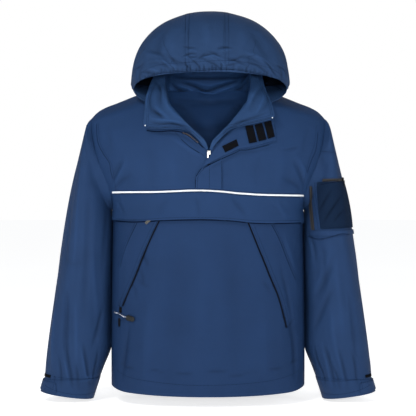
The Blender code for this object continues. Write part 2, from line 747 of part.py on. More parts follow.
def spread(edge, count):
    """Points and ways at even steps of length along an edge."""
    lengths = [0.0]
    for (a, _), (b, _) in zip(edge, edge[1:]):
        lengths.append(lengths[-1] + (b - a).length)
    out = []
    for i in range(count):
        at = lengths[-1] * i / (count - 1)
        k = max(j for j in range(len(edge) - 1) if lengths[j] <= at + 1e-9)
        t = (at - lengths[k]) / (lengths[k + 1] - lengths[k])
        out.append((edge[k][0].lerp(edge[k + 1][0], t), edge[k][1].lerp(edge[k + 1][1], t).normalized()))
    return out


def collar_grid(yokes, back, surface):
    """Columns from the zip's foot on -X, round the back, to the zip's foot on +X."""
    halves = []
    for side, edge in zip((-1, 1), collar_seats(yokes, back)):
        stations = []
        count = len(COLLAR_STATIONS)
        for k, ((base, way_in), row) in enumerate(zip(spread(edge, count), COLLAR_STATIONS)):
            _, normal, _, _ = surface.find_nearest(base)
            way_in = (way_in - normal * way_in.dot(normal)).normalized()
            roll, free, hollow = collar_station(side, row, k / (count - 1))
            stations.append(collar_path(base, way_in, normal, roll, free, hollow))
        halves.append(stations)
    columns = halves[0] + list(reversed(halves[1]))[1:]
    return [[Vector(column[r]) for column in columns] for r in range(COLLAR_ROWS + 1)]


def inside_of_collar(p):
    """A way towards the neck's middle, where the collar's inner face looks."""
    return Vector((-p.x, 0.02 - p.y, 0.0)) if p.y > -0.02 else Vector((-p.x * 0.3, -0.1, 0.12))


# ---------------------------------------------------------------- laid pieces
def lay(surface, x, z, lift, from_y=-1.0):
    """The point of the dressed surface at x, z, met from the front (or the back), and the way out."""
    way = Vector((0, 1 if from_y < 0 else -1, 0))
    hit, normal, _, _ = surface.ray_cast(Vector((x + OFF_EDGE, from_y, z)), way)
    if normal.dot(way) > 0:
        normal = -normal
    return hit + normal * lift, normal


def laid_strip(name, surface, corners, steps, spec, lift=LAY_GAP, thickness=THIN_WALL, puff=0.0):
    """A patch over four corners (x, z), in order round it, laid on a surface and given a wall."""
    along, across = steps
    (ax, az), (bx, bz), (cx, cz), (dx, dz) = corners
    outer, inner = [], []
    for r in range(across + 1):
        t = r / across
        outer_row, inner_row = [], []
        for c in range(along + 1):
            s = c / along
            x = (ax * (1 - s) + bx * s) * (1 - t) + (dx * (1 - s) + cx * s) * t
            z = (az * (1 - s) + bz * s) * (1 - t) + (dz * (1 - s) + cz * s) * t
            swell = puff * math.sin(math.pi * s) ** 0.6 * math.sin(math.pi * t) ** 0.6 if puff else 0.0
            base, normal = lay(surface, x, z, 0.0)
            inner_row.append(base + normal * (lift + swell))
            outer_row.append(base + normal * (lift + swell + thickness))
        outer.append(outer_row)
        inner.append(inner_row)
    return wall_between(name, outer, inner, spec)


# ---------------------------------------------------------------- the garment
def outward_front(p):
    return Vector((p.x * 0.6, -1, 0.35 if p.z > -0.1 else 0.0))


def outward_back(p):
    return Vector((p.x * 0.6, 1, 0.35 if p.z > -0.1 else 0.0))


def build_body():
    """Fronts, back and sleeves, with shared normals where they meet. Returns their grids."""
    below, armhole = side_levels()
    grids = {"lower_front": (lower_front_grid(below, armhole), outward_front, False)}
    yokes = {side: yoke_grid(side, armhole) for side in (-1, 1)}
    back = back_grid(below, armhole)
    match_shoulders(back, yokes)
    grids["front_yoke_right"] = (yokes[-1], outward_front, False)
    grids["front_yoke_left"] = (yokes[1], outward_front, False)
    grids["back"] = (back, outward_back, False)
    lower = grids["lower_front"][0]
    sleeves = {}
    for side, label in ((-1, "right"), (1, "left")):
        yoke_edge = [row[-1] for row in yokes[side]]
        low_column = 0 if side < 0 else -1
        low_edge = [row[low_column] for row in lower[len(below):-1]]
        front_loop = list(reversed(yoke_edge)) + list(reversed(low_edge))
        front_loop.append(lower[len(below) - 1][low_column])
        back_column = 0 if side < 0 else -1
        back_edge = [row[back_column] for row in back[len(below):-1]]
        sleeves[side] = sleeve_grid(side, front_loop, back_edge)
        grids[f"sleeve_{label}"] = (sleeves[side], tube_normals(sleeves[side]), True)
    table = {}
    for grid, outward, ring in grids.values():
        add_face_normals(table, grid, ring, outward)
    drawn = {
        "lower_front": ("last_row", "first_column", "last_column"),
        "front_yoke_right": ("first_row", "last_row", "first_column", "last_column"),
        "front_yoke_left": ("first_row", "last_row", "first_column", "last_column"),
        "back": ("last_row", "first_column", "last_column"),
        "sleeve_right": ("first_row", "last_row"),
        "sleeve_left": ("first_row", "last_row"),
    }
    skins = {}
    for name, (grid, _, ring) in grids.items():
        normals = [[table[key_of(p)].normalized() for p in row] for row in grid]
        shown = drawn_back(grid, drawn[name], ring)
        wall_between(name, moved(shown, normals, WALL), shown, CLOTH, ring)
        skins[name] = moved(grid, normals, WALL)
    return yokes, back, skins


def tree_of(grids, rings=()):
    """One search tree over the faces of several grids."""
    points, faces = [], []
    for name, grid in grids.items():
        start, cols, ring = len(points), len(grid[0]), name in rings
        points += [p for row in grid for p in row]
        for r in range(len(grid) - 1):
            for c in range(cols if ring else cols - 1):
                a, b = start + r * cols + c, start + r * cols + (c + 1) % cols
                faces.append((a, b, b + cols))
                faces.append((a, b + cols, a + cols))
    return BVHTree.FromPolygons([tuple(p) for p in points], faces)


FLAP_LEVELS = (
    # share of the drop, lift off the panel
    (0.0, 0.0), (0.35, 0.0010), (0.70, 0.0026), (1.0, 0.0042),
)
FLAP_START = 0.0006       # how far below the seam the flap begins
FLAP_LIFT = 0.0012
FLAP_REACH = 0.2215


def build_chest_flap(skin):
    """The flap hangs from the piping over the chest pocket, and stands off towards its free edge."""
    inner, outer = [], []
    for share, lift in reversed(FLAP_LEVELS):
        inner_row, outer_row = [], []
        for side, cs in ((-1, range(COLUMNS - 1, 0, -1)), (1, range(0, COLUMNS))):
            for c in cs:
                x = ZIP_X + (side * FLAP_REACH - ZIP_X) * column_share(c) / column_share(COLUMNS - 1)
                base, normal = lay(skin, x, piping_z(x) - FLAP_START - FLAP_DROP * share, 0.0)
                inner_row.append(base + normal * (FLAP_LIFT + lift))
                outer_row.append(base + normal * (FLAP_LIFT + lift + WALL))
        inner.append(inner_row)
        outer.append(outer_row)
    wall_between("chest_flap", outer, inner, CLOTH)


PIPING_RADIUS = 0.0020
PIPING_LIFT = 0.0009
PIPING_REACH = 0.2230


def build_piping(skin):
    """A flattened cord of reflective tape that stands over the yoke's lower edge."""
    profile = ((-1.0, 0.0), (-0.7, 0.75), (0.0, 1.0), (0.7, 0.75), (1.0, 0.0))
    count = 30
    outer = []
    for up, out in reversed(profile):
        row = []
        for i in range(count + 1):
            x = -PIPING_REACH + 2 * PIPING_REACH * i / count
            z = piping_z(x) + 0.0028 + up * PIPING_RADIUS
            base, normal = lay(skin, x, z, 0.0)
            row.append((base, normal, out))
        outer.append(row)
    rounded = [[b + n * (PIPING_LIFT + 0.0003 + 0.0012 * o) for b, n, o in row] for row in outer]
    flat = [[b + n * PIPING_LIFT for b, n, o in row] for row in outer]
    wall_between("piping", rounded, flat, REFLECTIVE)


def neck_ring(side, share, skin):
    """A point of the hood's seam on the panels, from under the collar's leaf round to the back."""
    front_share, side_share = 0.36, 0.44
    start_z = -0.024
    if share < front_share:
        z = start_z + (0.026 - start_z) * share / front_share
        x = ZIP_X + side * (read_table(NECK_EDGE, z) + 0.0055)
        guess = front_point(x, z)
    elif share < side_share:
        x = side * (NECK_SIDE_X + 0.0065)
        t = (share - front_share) / (side_share - front_share)
        guess = Vector((x, -0.020 + 0.032 * t, NECK_SIDE_Z))
    else:
        t = (share - side_share) / (1 - side_share)
        x = NECK_SIDE_X * math.cos(math.pi / 2 * t)
        p = back_neck_point(x)
        away = Vector((p.x * 0.9, p.y, 0)).normalized()
        guess = Vector((side * (p.x + away.x * 0.008), p.y + away.y * 0.008, p.z - 0.003))
    hit, normal, _, _ = skin.find_nearest(guess)
    if normal.dot(guess - Vector((0, 0, -0.2))) < 0:
        normal = -normal
    return hit + normal * HOOD_SEAT


def build_hood(skin):
    rows = []
    for spec in HOOD_ROWS:
        share = spec[4]
        rows.append(hood_row(spec, neck_ring(-1, share * 0.93, skin), neck_ring(1, share * 0.93, skin)))
    cols = len(rows[0])
    last = []
    for c in range(cols):
        off_middle = 2 * c / (cols - 1) - 1
        last.append(neck_ring(-1 if off_middle < 0 else 1, 1.0 - 0.07 * abs(off_middle), skin))
    rows.append(last)

    def outward(p):
        return p - Vector((HOOD_MIDDLE_X, 0.02, 0.05))

    normals = wound_normals(rows, outward)
    left_seam = CHEEK_COLUMNS
    right_seam = CHEEK_COLUMNS + GUSSET_COLUMNS
    for name, first, last_c, edges in (
        ("hood_right_panel", 0, left_seam, ("last_column",)),
        ("hood_gusset", left_seam, right_seam, ("first_column", "last_column")),
        ("hood_left_panel", right_seam, cols - 1, ("first_column",)),
    ):
        part_rows = [row[first:last_c + 1] for row in rows]
        part_normals = [row[first:last_c + 1] for row in normals]
        shown = drawn_back(part_rows, edges)
        wall_between(name, shown, moved(shown, part_normals, -WALL), CLOTH)
    return rows


# ---------------------------------------------------------------- front opening
STORM_FLAP = (
    # the closed stretch, from the piping up: free edge (x, z), sewn edge (x, z), lift off the panel
    (-0.0285, -0.2155, 0.0320, -0.2180, 0.0023),
    (-0.0283, -0.1960, 0.0320, -0.1980, 0.0023),
    (-0.0250, -0.1800, 0.0320, -0.1800, 0.0023),
    (-0.0150, -0.1690, 0.0300, -0.1475, 0.0023),
)
TURNED_FLAP = (
    # the stretch turned back over the chest, from the zip's foot outwards, with the same columns
    (-0.0116, -0.1650, -0.0058, -0.1529, 0.0032),
    (0.0046, -0.1570, 0.0104, -0.1322, 0.0032),
    (0.0277, -0.1455, 0.0230, -0.1137, 0.0038),
    (0.0508, -0.1350, 0.0390, -0.0985, 0.0046),
    (0.0681, -0.1262, 0.0545, -0.0830, 0.0042),
    (0.0901, -0.1229, 0.0762, -0.0698, 0.0036),
    (0.1155, -0.1171, 0.1016, -0.0617, 0.0032),
    (0.1386, -0.1109, 0.1271, -0.0548, 0.0032),
    (0.1560, -0.1055, 0.1505, -0.0490, 0.0036),
)
LOOP_PATCHES = (
    # name, then four corners (x, z)
    ("loop_patch_low", (0.0323, -0.1183), (0.0647, -0.1021), (0.0700, -0.1165), (0.0393, -0.1325)),
    ("loop_patch_1", (0.0855, -0.0715), (0.1030, -0.0686), (0.1122, -0.1075), (0.0942, -0.1113)),
    ("loop_patch_2", (0.1076, -0.0678), (0.1247, -0.0630), (0.1345, -0.1010), (0.1168, -0.1060)),
    ("loop_patch_3", (0.1292, -0.0618), (0.1460, -0.0570), (0.1540, -0.0945), (0.1390, -0.0998)),
)
ZIP_HALF = 0.0032
SLIDER_SIZE = (0.0080, 0.0036, 0.0095)
SLIDER_Z = -0.1322
PULL_SIZE = (0.0034, 0.0011, 0.0135)
PULL_OVER_HINGE = 0.0006
PULL_OFFSET = (-0.0024, 0.0005)  # of the tab's hinge from the slider's middle, x and z
SLIDER_ROUND = 0.0009
TAB_ROUND = 0.0004
ZIP_TOP_DROP = 0.0010     # from the V's bottom to the closed zip's top
ZIP_FOOT_RISE = 0.0062    # from the seam under the yokes to the zip's foot
TAPE_WALL = 0.0010        # a zip's tape with its coil
FLAP_STEPS = 4


def build_storm_flap(skin):
    """The flap that covers the closed zip, and its upper stretch turned back with its inner face out."""
    for name, rows in (("storm_flap", STORM_FLAP), ("storm_flap_turned", TURNED_FLAP)):
        inner, outer = [], []
        for step in range(2 * len(rows) - 1):
            first, t = rows[step // 2], 0.5 * (step % 2)
            second = rows[min(step // 2 + 1, len(rows) - 1)]
            values = [a * (1 - t) + b * t for a, b in zip(first, second)]
            free, sewn, lift = values[0:2], values[2:4], values[4]
            inner_row, outer_row = [], []
            for k in range(FLAP_STEPS + 1):
                share = k / FLAP_STEPS
                x = free[0] * (1 - share) + sewn[0] * share
                z = free[1] * (1 - share) + sewn[1] * share
                base, normal = lay(skin, x, z, 0.0)
                inner_row.append(base + normal * lift)
                outer_row.append(base + normal * (lift + WALL))
            inner.append(inner_row)
            outer.append(outer_row)
        wall_between(name, outer, inner, CLOTH)
    return tree_of({name: outer})


def build_front_zip(skin):
    """The closed stretch of the zip under the storm flap, its slider, and the slider's hinged tab."""
    top, foot = V_BOTTOM_Z - ZIP_TOP_DROP, piping_z(ZIP_X) + ZIP_FOOT_RISE
    low, high = ZIP_X - ZIP_HALF, ZIP_X + ZIP_HALF
    corners = ((low, top), (high, top), (high, foot), (low, foot))
    laid_strip("front_zip", skin, corners, (1, 8), ZIP_TAPE, LAY_GAP, TAPE_WALL)
    base, _ = lay(skin, ZIP_X, SLIDER_Z, 0.0)
    slider_y = base.y - LAY_GAP - TAPE_WALL - SEAM_GAP - SLIDER_SIZE[1] / 2
    block("front_zip_slider", SLIDER_SIZE, (ZIP_X, slider_y, SLIDER_Z), ZIP_METAL, SLIDER_ROUND)
    pull_y = slider_y - SLIDER_SIZE[1] / 2 - SEAM_GAP - PULL_SIZE[1] / 2
    hinge = (ZIP_X + PULL_OFFSET[0], pull_y, SLIDER_Z + PULL_OFFSET[1])
    block("front_zip_pull", PULL_SIZE, hinge, ZIP_METAL, TAB_ROUND, hang=PULL_SIZE[2] / 2 - PULL_OVER_HINGE)


# ---------------------------------------------------------------- pockets
HAND_POCKETS = (
    # label, the zip's line from the top down (x, z), the welt's outer edge from the top down (x, z)
    ("right",
     ((-0.1120, -0.2850), (-0.1446, -0.3556), (-0.1676, -0.4130), (-0.1906, -0.4658), (-0.1995, -0.4880)),
     ((-0.1618, -0.2850), (-0.1837, -0.3327), (-0.1975, -0.3671), (-0.2045, -0.3960), (-0.2082, -0.4880))),
    ("left",
     ((0.0920, -0.2890), (0.1240, -0.3671), (0.1424, -0.4130), (0.1653, -0.4704), (0.1830, -0.5370)),
     ((0.1445, -0.2890), (0.1653, -0.3327), (0.1883, -0.3901), (0.2035, -0.4245), (0.2082, -0.5350))),
)
WELT_EASE = 0.0004       # between the welt's edge and the middle of its zip's line
POCKET_ZIP_WIDTH = 0.0030
POCKET_LIFT = LAY_GAP + 0.0004
WELT_STEPS = (24, 5)     # along the zip, across the welt


def build_hand_pockets(skin):
    """A slanting wedge-shaped welt on each side, with its zip along the welt's inner edge."""
    steps, across = WELT_STEPS
    for label, zip_line, outer_line in HAND_POCKETS:
        out = math.copysign(1.0, zip_line[0][0])
        inner_edge = smooth_path([Vector((x, z, 0)) for x, z in zip_line], steps)
        outer_edge = smooth_path([Vector((x, z, 0)) for x, z in outer_line], steps)
        under, over = [], []
        for near, far in zip(inner_edge, outer_edge):
            start = Vector((near[0] + out * WELT_EASE, near[1], 0))
            end = Vector((far[0], far[1], 0))
            under_row, over_row = [], []
            for k in range(across + 1):
                at = start.lerp(end, k / across)
                base, normal = lay(skin, at.x, at.y, 0.0)
                under_row.append(base + normal * POCKET_LIFT)
                over_row.append(base + normal * (POCKET_LIFT + WALL))
            under.append(under_row)
            over.append(over_row)
        wall_between(f"hand_welt_{label}", over, under, CLOTH)
        under, over = [], []
        for point in inner_edge:
            under_row, over_row = [], []
            for reach in (-POCKET_ZIP_WIDTH, -WELT_EASE):
                base, normal = lay(skin, point[0] + out * reach, point[1], 0.0)
                under_row.append(base + normal * POCKET_LIFT)
                over_row.append(base + normal * (POCKET_LIFT + TAPE_WALL))
            under.append(under_row)
            over.append(over_row)
        wall_between(f"hand_zip_{label}", over, under, ZIP_TAPE)


PULL_CORD = (
    # x, z, lift off the panel, from the grip's end back past the slider
    (-0.1868, -0.5135, 0.0056),
    (-0.1940, -0.5114, 0.0058),
    (-0.2005, -0.5082, 0.0046),
    (-0.2065, -0.5063, 0.0036),
    (-0.2120, -0.5052, 0.0034),
    (-0.2185, -0.5042, 0.0040),
)
CORD_RADIUS = 0.0016
CORD_MEETS = 0.00005      # between the cord's end and its grip
GRIP_SIZE = (0.0250, 0.0070, 0.0140)
CHEST_PULL_SIZE = (0.0062, 0.0010, 0.0140)
CHEST_PULL_LIFT = POCKET_LIFT + WALL + 0.0008
CHEST_PULL_TILT = math.radians(50)
CHEST_PULL_PLACE = (-0.1378, -0.2905)
CHEST_ZIP_REACH = (-0.150, 0.110)
CHEST_ZIP_DROPS = (0.0500, 0.0560)  # of its two edges below the flap's seam
HAND_SLIDER = (
    # name, its place (x, z), its size, its lift off the panel, its edge's round
    ("hand_slider", (-0.2035, -0.4976), (0.0080, 0.0030, 0.0130), 0.0028, 0.0006),
    ("hand_slider_tail", (-0.2070, -0.5270), (0.0058, 0.0014, 0.0200), 0.0016, 0.0003),
)
CORD_BENDS = 12
GRIP_ROUND = 0.0022


def build_pocket_pulls(skin):
    """The hand pocket's slider with its tail, cord and moulded grip, and the chest pocket's zip and tab."""
    for name, place, size, lift, edge in HAND_SLIDER:
        base, normal = lay(skin, *place, 0.0)
        turn = (0, 0, math.atan2(normal.x, -normal.y))
        block(name, size, base + normal * lift, ZIP_BLACK, edge, turn)
    route = []
    for x, z, lift in PULL_CORD:
        base, normal = lay(skin, x, z, 0.0)
        route.append(base + normal * lift)
    path = smooth_path(route, CORD_BENDS)
    curve = bpy.data.curves.new("pull_cord", "CURVE")
    curve.dimensions = "3D"
    curve.bevel_depth = CORD_RADIUS
    curve.bevel_resolution = 2
    curve.use_fill_caps = True
    spline = curve.splines.new("POLY")
    spline.points.add(len(path) - 1)
    for point, p in zip(spline.points, path):
        point.co = (*p, 1.0)
    curve.materials.append(material(CORD))
    bpy.context.scene.collection.objects.link(bpy.data.objects.new("pull_cord", curve))
    end, before = Vector(path[0]), Vector(path[1])
    along = (end - before).normalized()
    turn = along.to_track_quat("X", "Z").to_euler()
    block("pull_grip", GRIP_SIZE, end + along * (GRIP_SIZE[0] / 2 + CORD_MEETS), GRIP, GRIP_ROUND, turn)
    start, end = CHEST_ZIP_REACH
    upper, lower = CHEST_ZIP_DROPS
    places = ((start, upper), (end, upper), (end, lower), (start, lower))
    corners = tuple((x, piping_z(x) - drop) for x, drop in places)
    laid_strip("chest_zip", skin, corners, (20, 1), ZIP_TAPE, LAY_GAP, TAPE_WALL)
    base, normal = lay(skin, *CHEST_PULL_PLACE, 0.0)
    turn = (0, CHEST_PULL_TILT, math.atan2(normal.x, -normal.y))
    block("chest_zip_pull", CHEST_PULL_SIZE, base + normal * CHEST_PULL_LIFT, ZIP_METAL, TAB_ROUND, turn)


# ---------------------------------------------------------------- sleeve details
def lay_round(tree, angle_deg, z, centre, lift):
    """A point of a sleeve's surface at a height, met from outside. 0 degrees is the outer side."""
    angle = math.radians(angle_deg)
    side = math.copysign(1.0, centre.x)
    away = Vector((side * math.cos(angle), -math.sin(angle), 0))
    start = Vector((centre.x, centre.y, z)) + away * 0.25
    hit, normal, _, _ = tree.ray_cast(start, -away)
    if normal.dot(away) < 0:
        normal = -normal
    return hit + normal * lift, normal


def round_strip(name, tree, centre, corners, steps, spec, lift, thickness, puff=0.0, drop=0.0):
    """A patch on a sleeve over four corners (angle, z). drop lowers it towards the inner side."""
    along, across = steps
    (ax, az), (bx, bz), (cx, cz), (dx, dz) = corners
    outer, inner = [], []
    for r in range(across + 1):
        t = r / across
        outer_row, inner_row = [], []
        for c in range(along + 1):
            s = c / along
            angle = (ax * (1 - s) + bx * s) * (1 - t) + (dx * (1 - s) + cx * s) * t
            z = (az * (1 - s) + bz * s) * (1 - t) + (dz * (1 - s) + cz * s) * t
            z -= drop * (1 - math.cos(math.radians(angle))) / 2
            swell = puff * (math.sin(math.pi * s) * math.sin(math.pi * t)) ** 0.6 if puff else 0.0
            base, normal = lay_round(tree, angle, z, centre, 0.0)
            inner_row.append(base + normal * (lift + swell))
            outer_row.append(base + normal * (lift + swell + thickness))
        outer.append(outer_row)
        inner.append(inner_row)
    return wall_between(name, outer, inner, spec)


POCKET_CENTRE = Vector((0.286, 0.0, 0.0))
CUFF_CENTRE_X = 0.332
SLEEVE_POCKET = (
    # name, corners (angle, z) from the inner top, steps, material, lift, wall, puff
    ("sleeve_pocket_mesh", ((117, -0.1990), (-16, -0.1945), (-16, -0.3050), (106, -0.3080)),
     (18, 6), MESH, 0.0019, 0.0012, 0.0030),
    ("sleeve_pocket_band", ((128, -0.3135), (-18, -0.3105), (-18, -0.3205), (130, -0.3245)),
     (20, 1), CLOTH, 0.0020, 0.0016, 0.0),
    ("sleeve_pocket_top_zip", ((104, -0.1915), (-14, -0.1868), (-14, -0.1928), (104, -0.1975)),
     (20, 1), ZIP_TAPE, 0.0014, 0.0012, 0.0),
)
SIDE_ZIP = ((0.2378, -0.2080), (0.2432, -0.2080), (0.2510, -0.3110), (0.2450, -0.3110))
SIDE_ZIP_LIFT = 0.0016
SLEEVE_SLIDER_SIZE = (0.0080, 0.0034, 0.0095)
SLEEVE_SLIDER_BEARING = 52
SLEEVE_SLIDER_Z = -0.1925
SLEEVE_SLIDER_LIFT = 0.0056
SLEEVE_PULL_SIZE = (0.0060, 0.0012, 0.0150)
SLEEVE_HINGE = (0.0027, 0.0030)  # out of the slider's middle, and below it
CUFF_CENTRE_Y = -0.008
CUFF_TAB = ((-50, -0.6680), (66, -0.6680), (66, -0.6890), (-50, -0.6890))
TAB_LIFT = 0.0012
TAB_DROP = 0.012          # from the strap's end on the outer side to its end on the inner side
CUFF_HOOK = ((20, -0.6520), (50, -0.6530), (48, -0.6595), (20, -0.6585))
HOOK_LIFT = 0.0009
HOOK_WALL = 0.0014
PATCH_LIFT = 0.0010       # a loop patch off the turned flap
PATCH_WALL = 0.0012


def build_sleeve_details(skins):
    left = tree_of({"sleeve_left": skins["sleeve_left"]}, ("sleeve_left",))
    for name, corners, steps, spec, lift, wall, puff in SLEEVE_POCKET:
        round_strip(name, left, POCKET_CENTRE, corners, steps, spec, lift, wall, puff)
    laid_strip("sleeve_pocket_side_zip", left, SIDE_ZIP, (1, 12), ZIP_TAPE, SIDE_ZIP_LIFT, PATCH_WALL)
    base, normal = lay_round(left, SLEEVE_SLIDER_BEARING, SLEEVE_SLIDER_Z, POCKET_CENTRE, 0.0)
    turn = (0, 0, math.atan2(normal.x, -normal.y))
    slider = base + normal * SLEEVE_SLIDER_LIFT
    block("sleeve_zip_slider", SLEEVE_SLIDER_SIZE, slider, ZIP_BLACK, SLIDER_ROUND, turn)
    out, drop = SLEEVE_HINGE
    hinge = slider + Vector((math.sin(turn[2]) * out, -math.cos(turn[2]) * out, -drop))
    hang = SLEEVE_PULL_SIZE[2] / 2 - PULL_OVER_HINGE
    block("sleeve_zip_pull", SLEEVE_PULL_SIZE, hinge, ZIP_BLACK, TAB_ROUND, turn, hang=hang)
    for side, label in ((-1, "right"), (1, "left")):
        cuff = cuff_grid(side)
        normals = grid_normals(cuff, tube_normals(cuff), True)
        skin = moved(cuff, normals, WALL)
        tree = tree_of({"cuff": skin}, ("cuff",))
        centre = Vector((side * CUFF_CENTRE_X, CUFF_CENTRE_Y, 0.0))
        round_strip(f"cuff_tab_{label}", tree, centre, CUFF_TAB, (16, 1), CLOTH, TAB_LIFT, WALL, 0.0, TAB_DROP)
        sleeve = tree_of({"s": skins[f"sleeve_{label}"]}, ("s",))
        round_strip(f"cuff_hook_{label}", sleeve, centre, CUFF_HOOK, (3, 1), HOOK_LOOP, HOOK_LIFT, HOOK_WALL)


def build_all():
    for old in list(bpy.data.objects):
        bpy.data.objects.remove(old, do_unlink=True)
    yokes, back, skins = build_body()
    body_tree = tree_of({k: g for k, g in skins.items() if not k.startswith("sleeve")})
    build_chest_flap(body_tree)
    build_piping(body_tree)
    for side, label in ((-1, "right"), (1, "left")):
        grid = cuff_grid(side)
        normals = grid_normals(grid, tube_normals(grid), True)
        wall_between(f"cuff_{label}", moved(grid, normals, WALL), grid, CLOTH, True)
    build_hood(body_tree)
    collar = collar_grid(yokes, back, body_tree)
    normals = wound_normals(collar, inside_of_collar)
    wall_between("collar", moved(collar, normals, WALL / 2), moved(collar, normals, -WALL / 2), CLOTH)
    turned = build_storm_flap(body_tree)
    for name, *corners in LOOP_PATCHES:
        laid_strip(name, turned, corners, (3, 3), HOOK_LOOP, PATCH_LIFT, PATCH_WALL)
    build_front_zip(body_tree)
    build_hand_pockets(body_tree)
    build_pocket_pulls(body_tree)
    build_sleeve_details(skins)


build_all()
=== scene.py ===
# %% [markdown]
# # A nylon anorak, dressed
# The packed CAD model gives every panel, tape and slider its place. This lesson loads it, keeps its
# measurements, and then makes each piece look like what it is: a thin woven shell with soft creases,
# sewn seams, zips, a mesh pocket and small metal and plastic parts. Right and left are the wearer's: right
# is -X.

# %% Load the frame
import math

import bmesh
import bpy
import numpy as np
from mathutils import Euler, Matrix, Vector
from mathutils.bvhtree import BVHTree


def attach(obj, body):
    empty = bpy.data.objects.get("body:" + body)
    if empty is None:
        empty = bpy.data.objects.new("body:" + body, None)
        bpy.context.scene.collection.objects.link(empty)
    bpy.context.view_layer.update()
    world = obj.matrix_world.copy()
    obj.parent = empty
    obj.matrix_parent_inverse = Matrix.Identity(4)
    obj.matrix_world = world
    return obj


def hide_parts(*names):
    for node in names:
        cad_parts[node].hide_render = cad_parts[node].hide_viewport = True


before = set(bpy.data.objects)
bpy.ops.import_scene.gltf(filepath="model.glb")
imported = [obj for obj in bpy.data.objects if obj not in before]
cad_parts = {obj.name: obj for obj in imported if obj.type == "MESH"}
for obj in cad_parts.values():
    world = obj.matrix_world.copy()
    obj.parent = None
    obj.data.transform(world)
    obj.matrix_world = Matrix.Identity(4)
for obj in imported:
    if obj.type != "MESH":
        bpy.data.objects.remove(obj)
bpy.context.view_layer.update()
scene = bpy.context.scene


# %% Two helpers for new objects and meshes
def add_object(name, data):
    """A new object in the scene."""
    made = bpy.data.objects.new(name, data)
    scene.collection.objects.link(made)
    return made


def mesh_from(work, name):
    """A mesh made from a bmesh, which is freed."""
    mesh = bpy.data.meshes.new(name)
    work.to_mesh(mesh)
    work.free()
    return mesh


# %% [markdown]
# ## Camera, light and floor
# The camera stands level, three metres in front of the garment, and sees a square of just under one
# metre. A long lens keeps the sleeves from leaning. The light is two big soft sources in front, one high
# and one level, with a weaker one on each side and one behind: they model the cloth but leave no hard
# shadow.

# %% Camera
VIEW_DISTANCE = 3.0
VIEW_HEIGHT = -0.2592
VIEW_WIDTH = 0.9984      # metres across the picture at y = 0
SENSOR_WIDTH = 36.0

camera_data = bpy.data.cameras.new("camera")
camera_data.sensor_width = SENSOR_WIDTH
camera_data.lens = SENSOR_WIDTH * VIEW_DISTANCE / VIEW_WIDTH
camera_data.clip_end = 50.0
camera = add_object("camera", camera_data)
camera.location = (0.0, -VIEW_DISTANCE, VIEW_HEIGHT)
camera.rotation_euler = (math.pi / 2, 0.0, 0.0)
scene.camera = camera
print("lens", round(camera_data.lens, 1), "mm")

# %% Soft lights
MIDDLE = Vector((0.0, 0.0, -0.25))
LIGHTS = (
    # name, place, side of the square, watts
    ("key", (-1.3, -2.2, 2.1), 1.0, 62.0),
    ("fill_right", (2.6, -1.5, 0.7), 1.4, 22.0),
    ("fill_left", (-2.6, -1.0, 0.0), 1.2, 12.0),
    ("front", (0.1, -3.3, -0.15), 0.8, 62.0),
    ("back", (0.4, 2.6, 1.4), 1.8, 8.0),
)
for name, place, size, watts in LIGHTS:
    data = bpy.data.lights.new(name, "AREA")
    data.shape = "SQUARE"
    data.size = size
    data.energy = watts
    light = add_object(name, data)
    light.location = place
    light.rotation_mode = "QUATERNION"
    light.rotation_quaternion = (MIDDLE - Vector(place)).to_track_quat("-Z", "Y")
scene.view_settings.view_transform = "Standard"
print("lights", len(LIGHTS))

# %% World: a bright studio seen by the camera, a dimmer one that lights the cloth
AMBIENT = 0.26
SKY_COLOR = (0.93, 0.96, 1.0, 1.0)
WHITE = (1.0, 1.0, 1.0, 1.0)
world = bpy.data.worlds.new("studio")
world.use_nodes = True
scene.world = world
tree = world.node_tree
tree.nodes.clear()
ray = tree.nodes.new("ShaderNodeLightPath")
mix = tree.nodes.new("ShaderNodeMixShader")
out = tree.nodes.new("ShaderNodeOutputWorld")
tree.links.new(ray.outputs["Is Camera Ray"], mix.inputs["Fac"])
for slot, color, strength in ((1, SKY_COLOR, AMBIENT), (2, WHITE, 1.0)):
    sky = tree.nodes.new("ShaderNodeBackground")
    sky.inputs["Color"].default_value = color
    sky.inputs["Strength"].default_value = strength
    tree.links.new(sky.outputs[0], mix.inputs[slot])
tree.links.new(mix.outputs[0], out.inputs["Surface"])
print("ambient", AMBIENT)


# %% [markdown]
# ## Shader maths as Python
# A material is easier to read as a formula than as a web of nodes. `Term` wraps one socket, so that
# `1 - mask * 0.3` adds the Math nodes by itself. Every other node comes from `Recipe.node`.

# %% Term
class Term:
    """One number of a shader, which + - * work on."""

    def __init__(self, recipe, socket):
        self.recipe = recipe
        self.socket = socket

    def _math(self, operation, a, b=None):
        values = {0: a} if b is None else {0: a, 1: b}
        return self.recipe.node("ShaderNodeMath", {"operation": operation}, values)

    def __add__(self, other):
        return self._math("ADD", self, other)

    def __rsub__(self, other):
        return self._math("SUBTRACT", other, self)

    def __mul__(self, other):
        return self._math("MULTIPLY", self, other)

    def above(self, level):
        return self._math("GREATER_THAN", self, level)

    def sine(self):
        return self._math("SINE", self)


print("maths", [name for name in vars(Term) if name not in vars(object)])


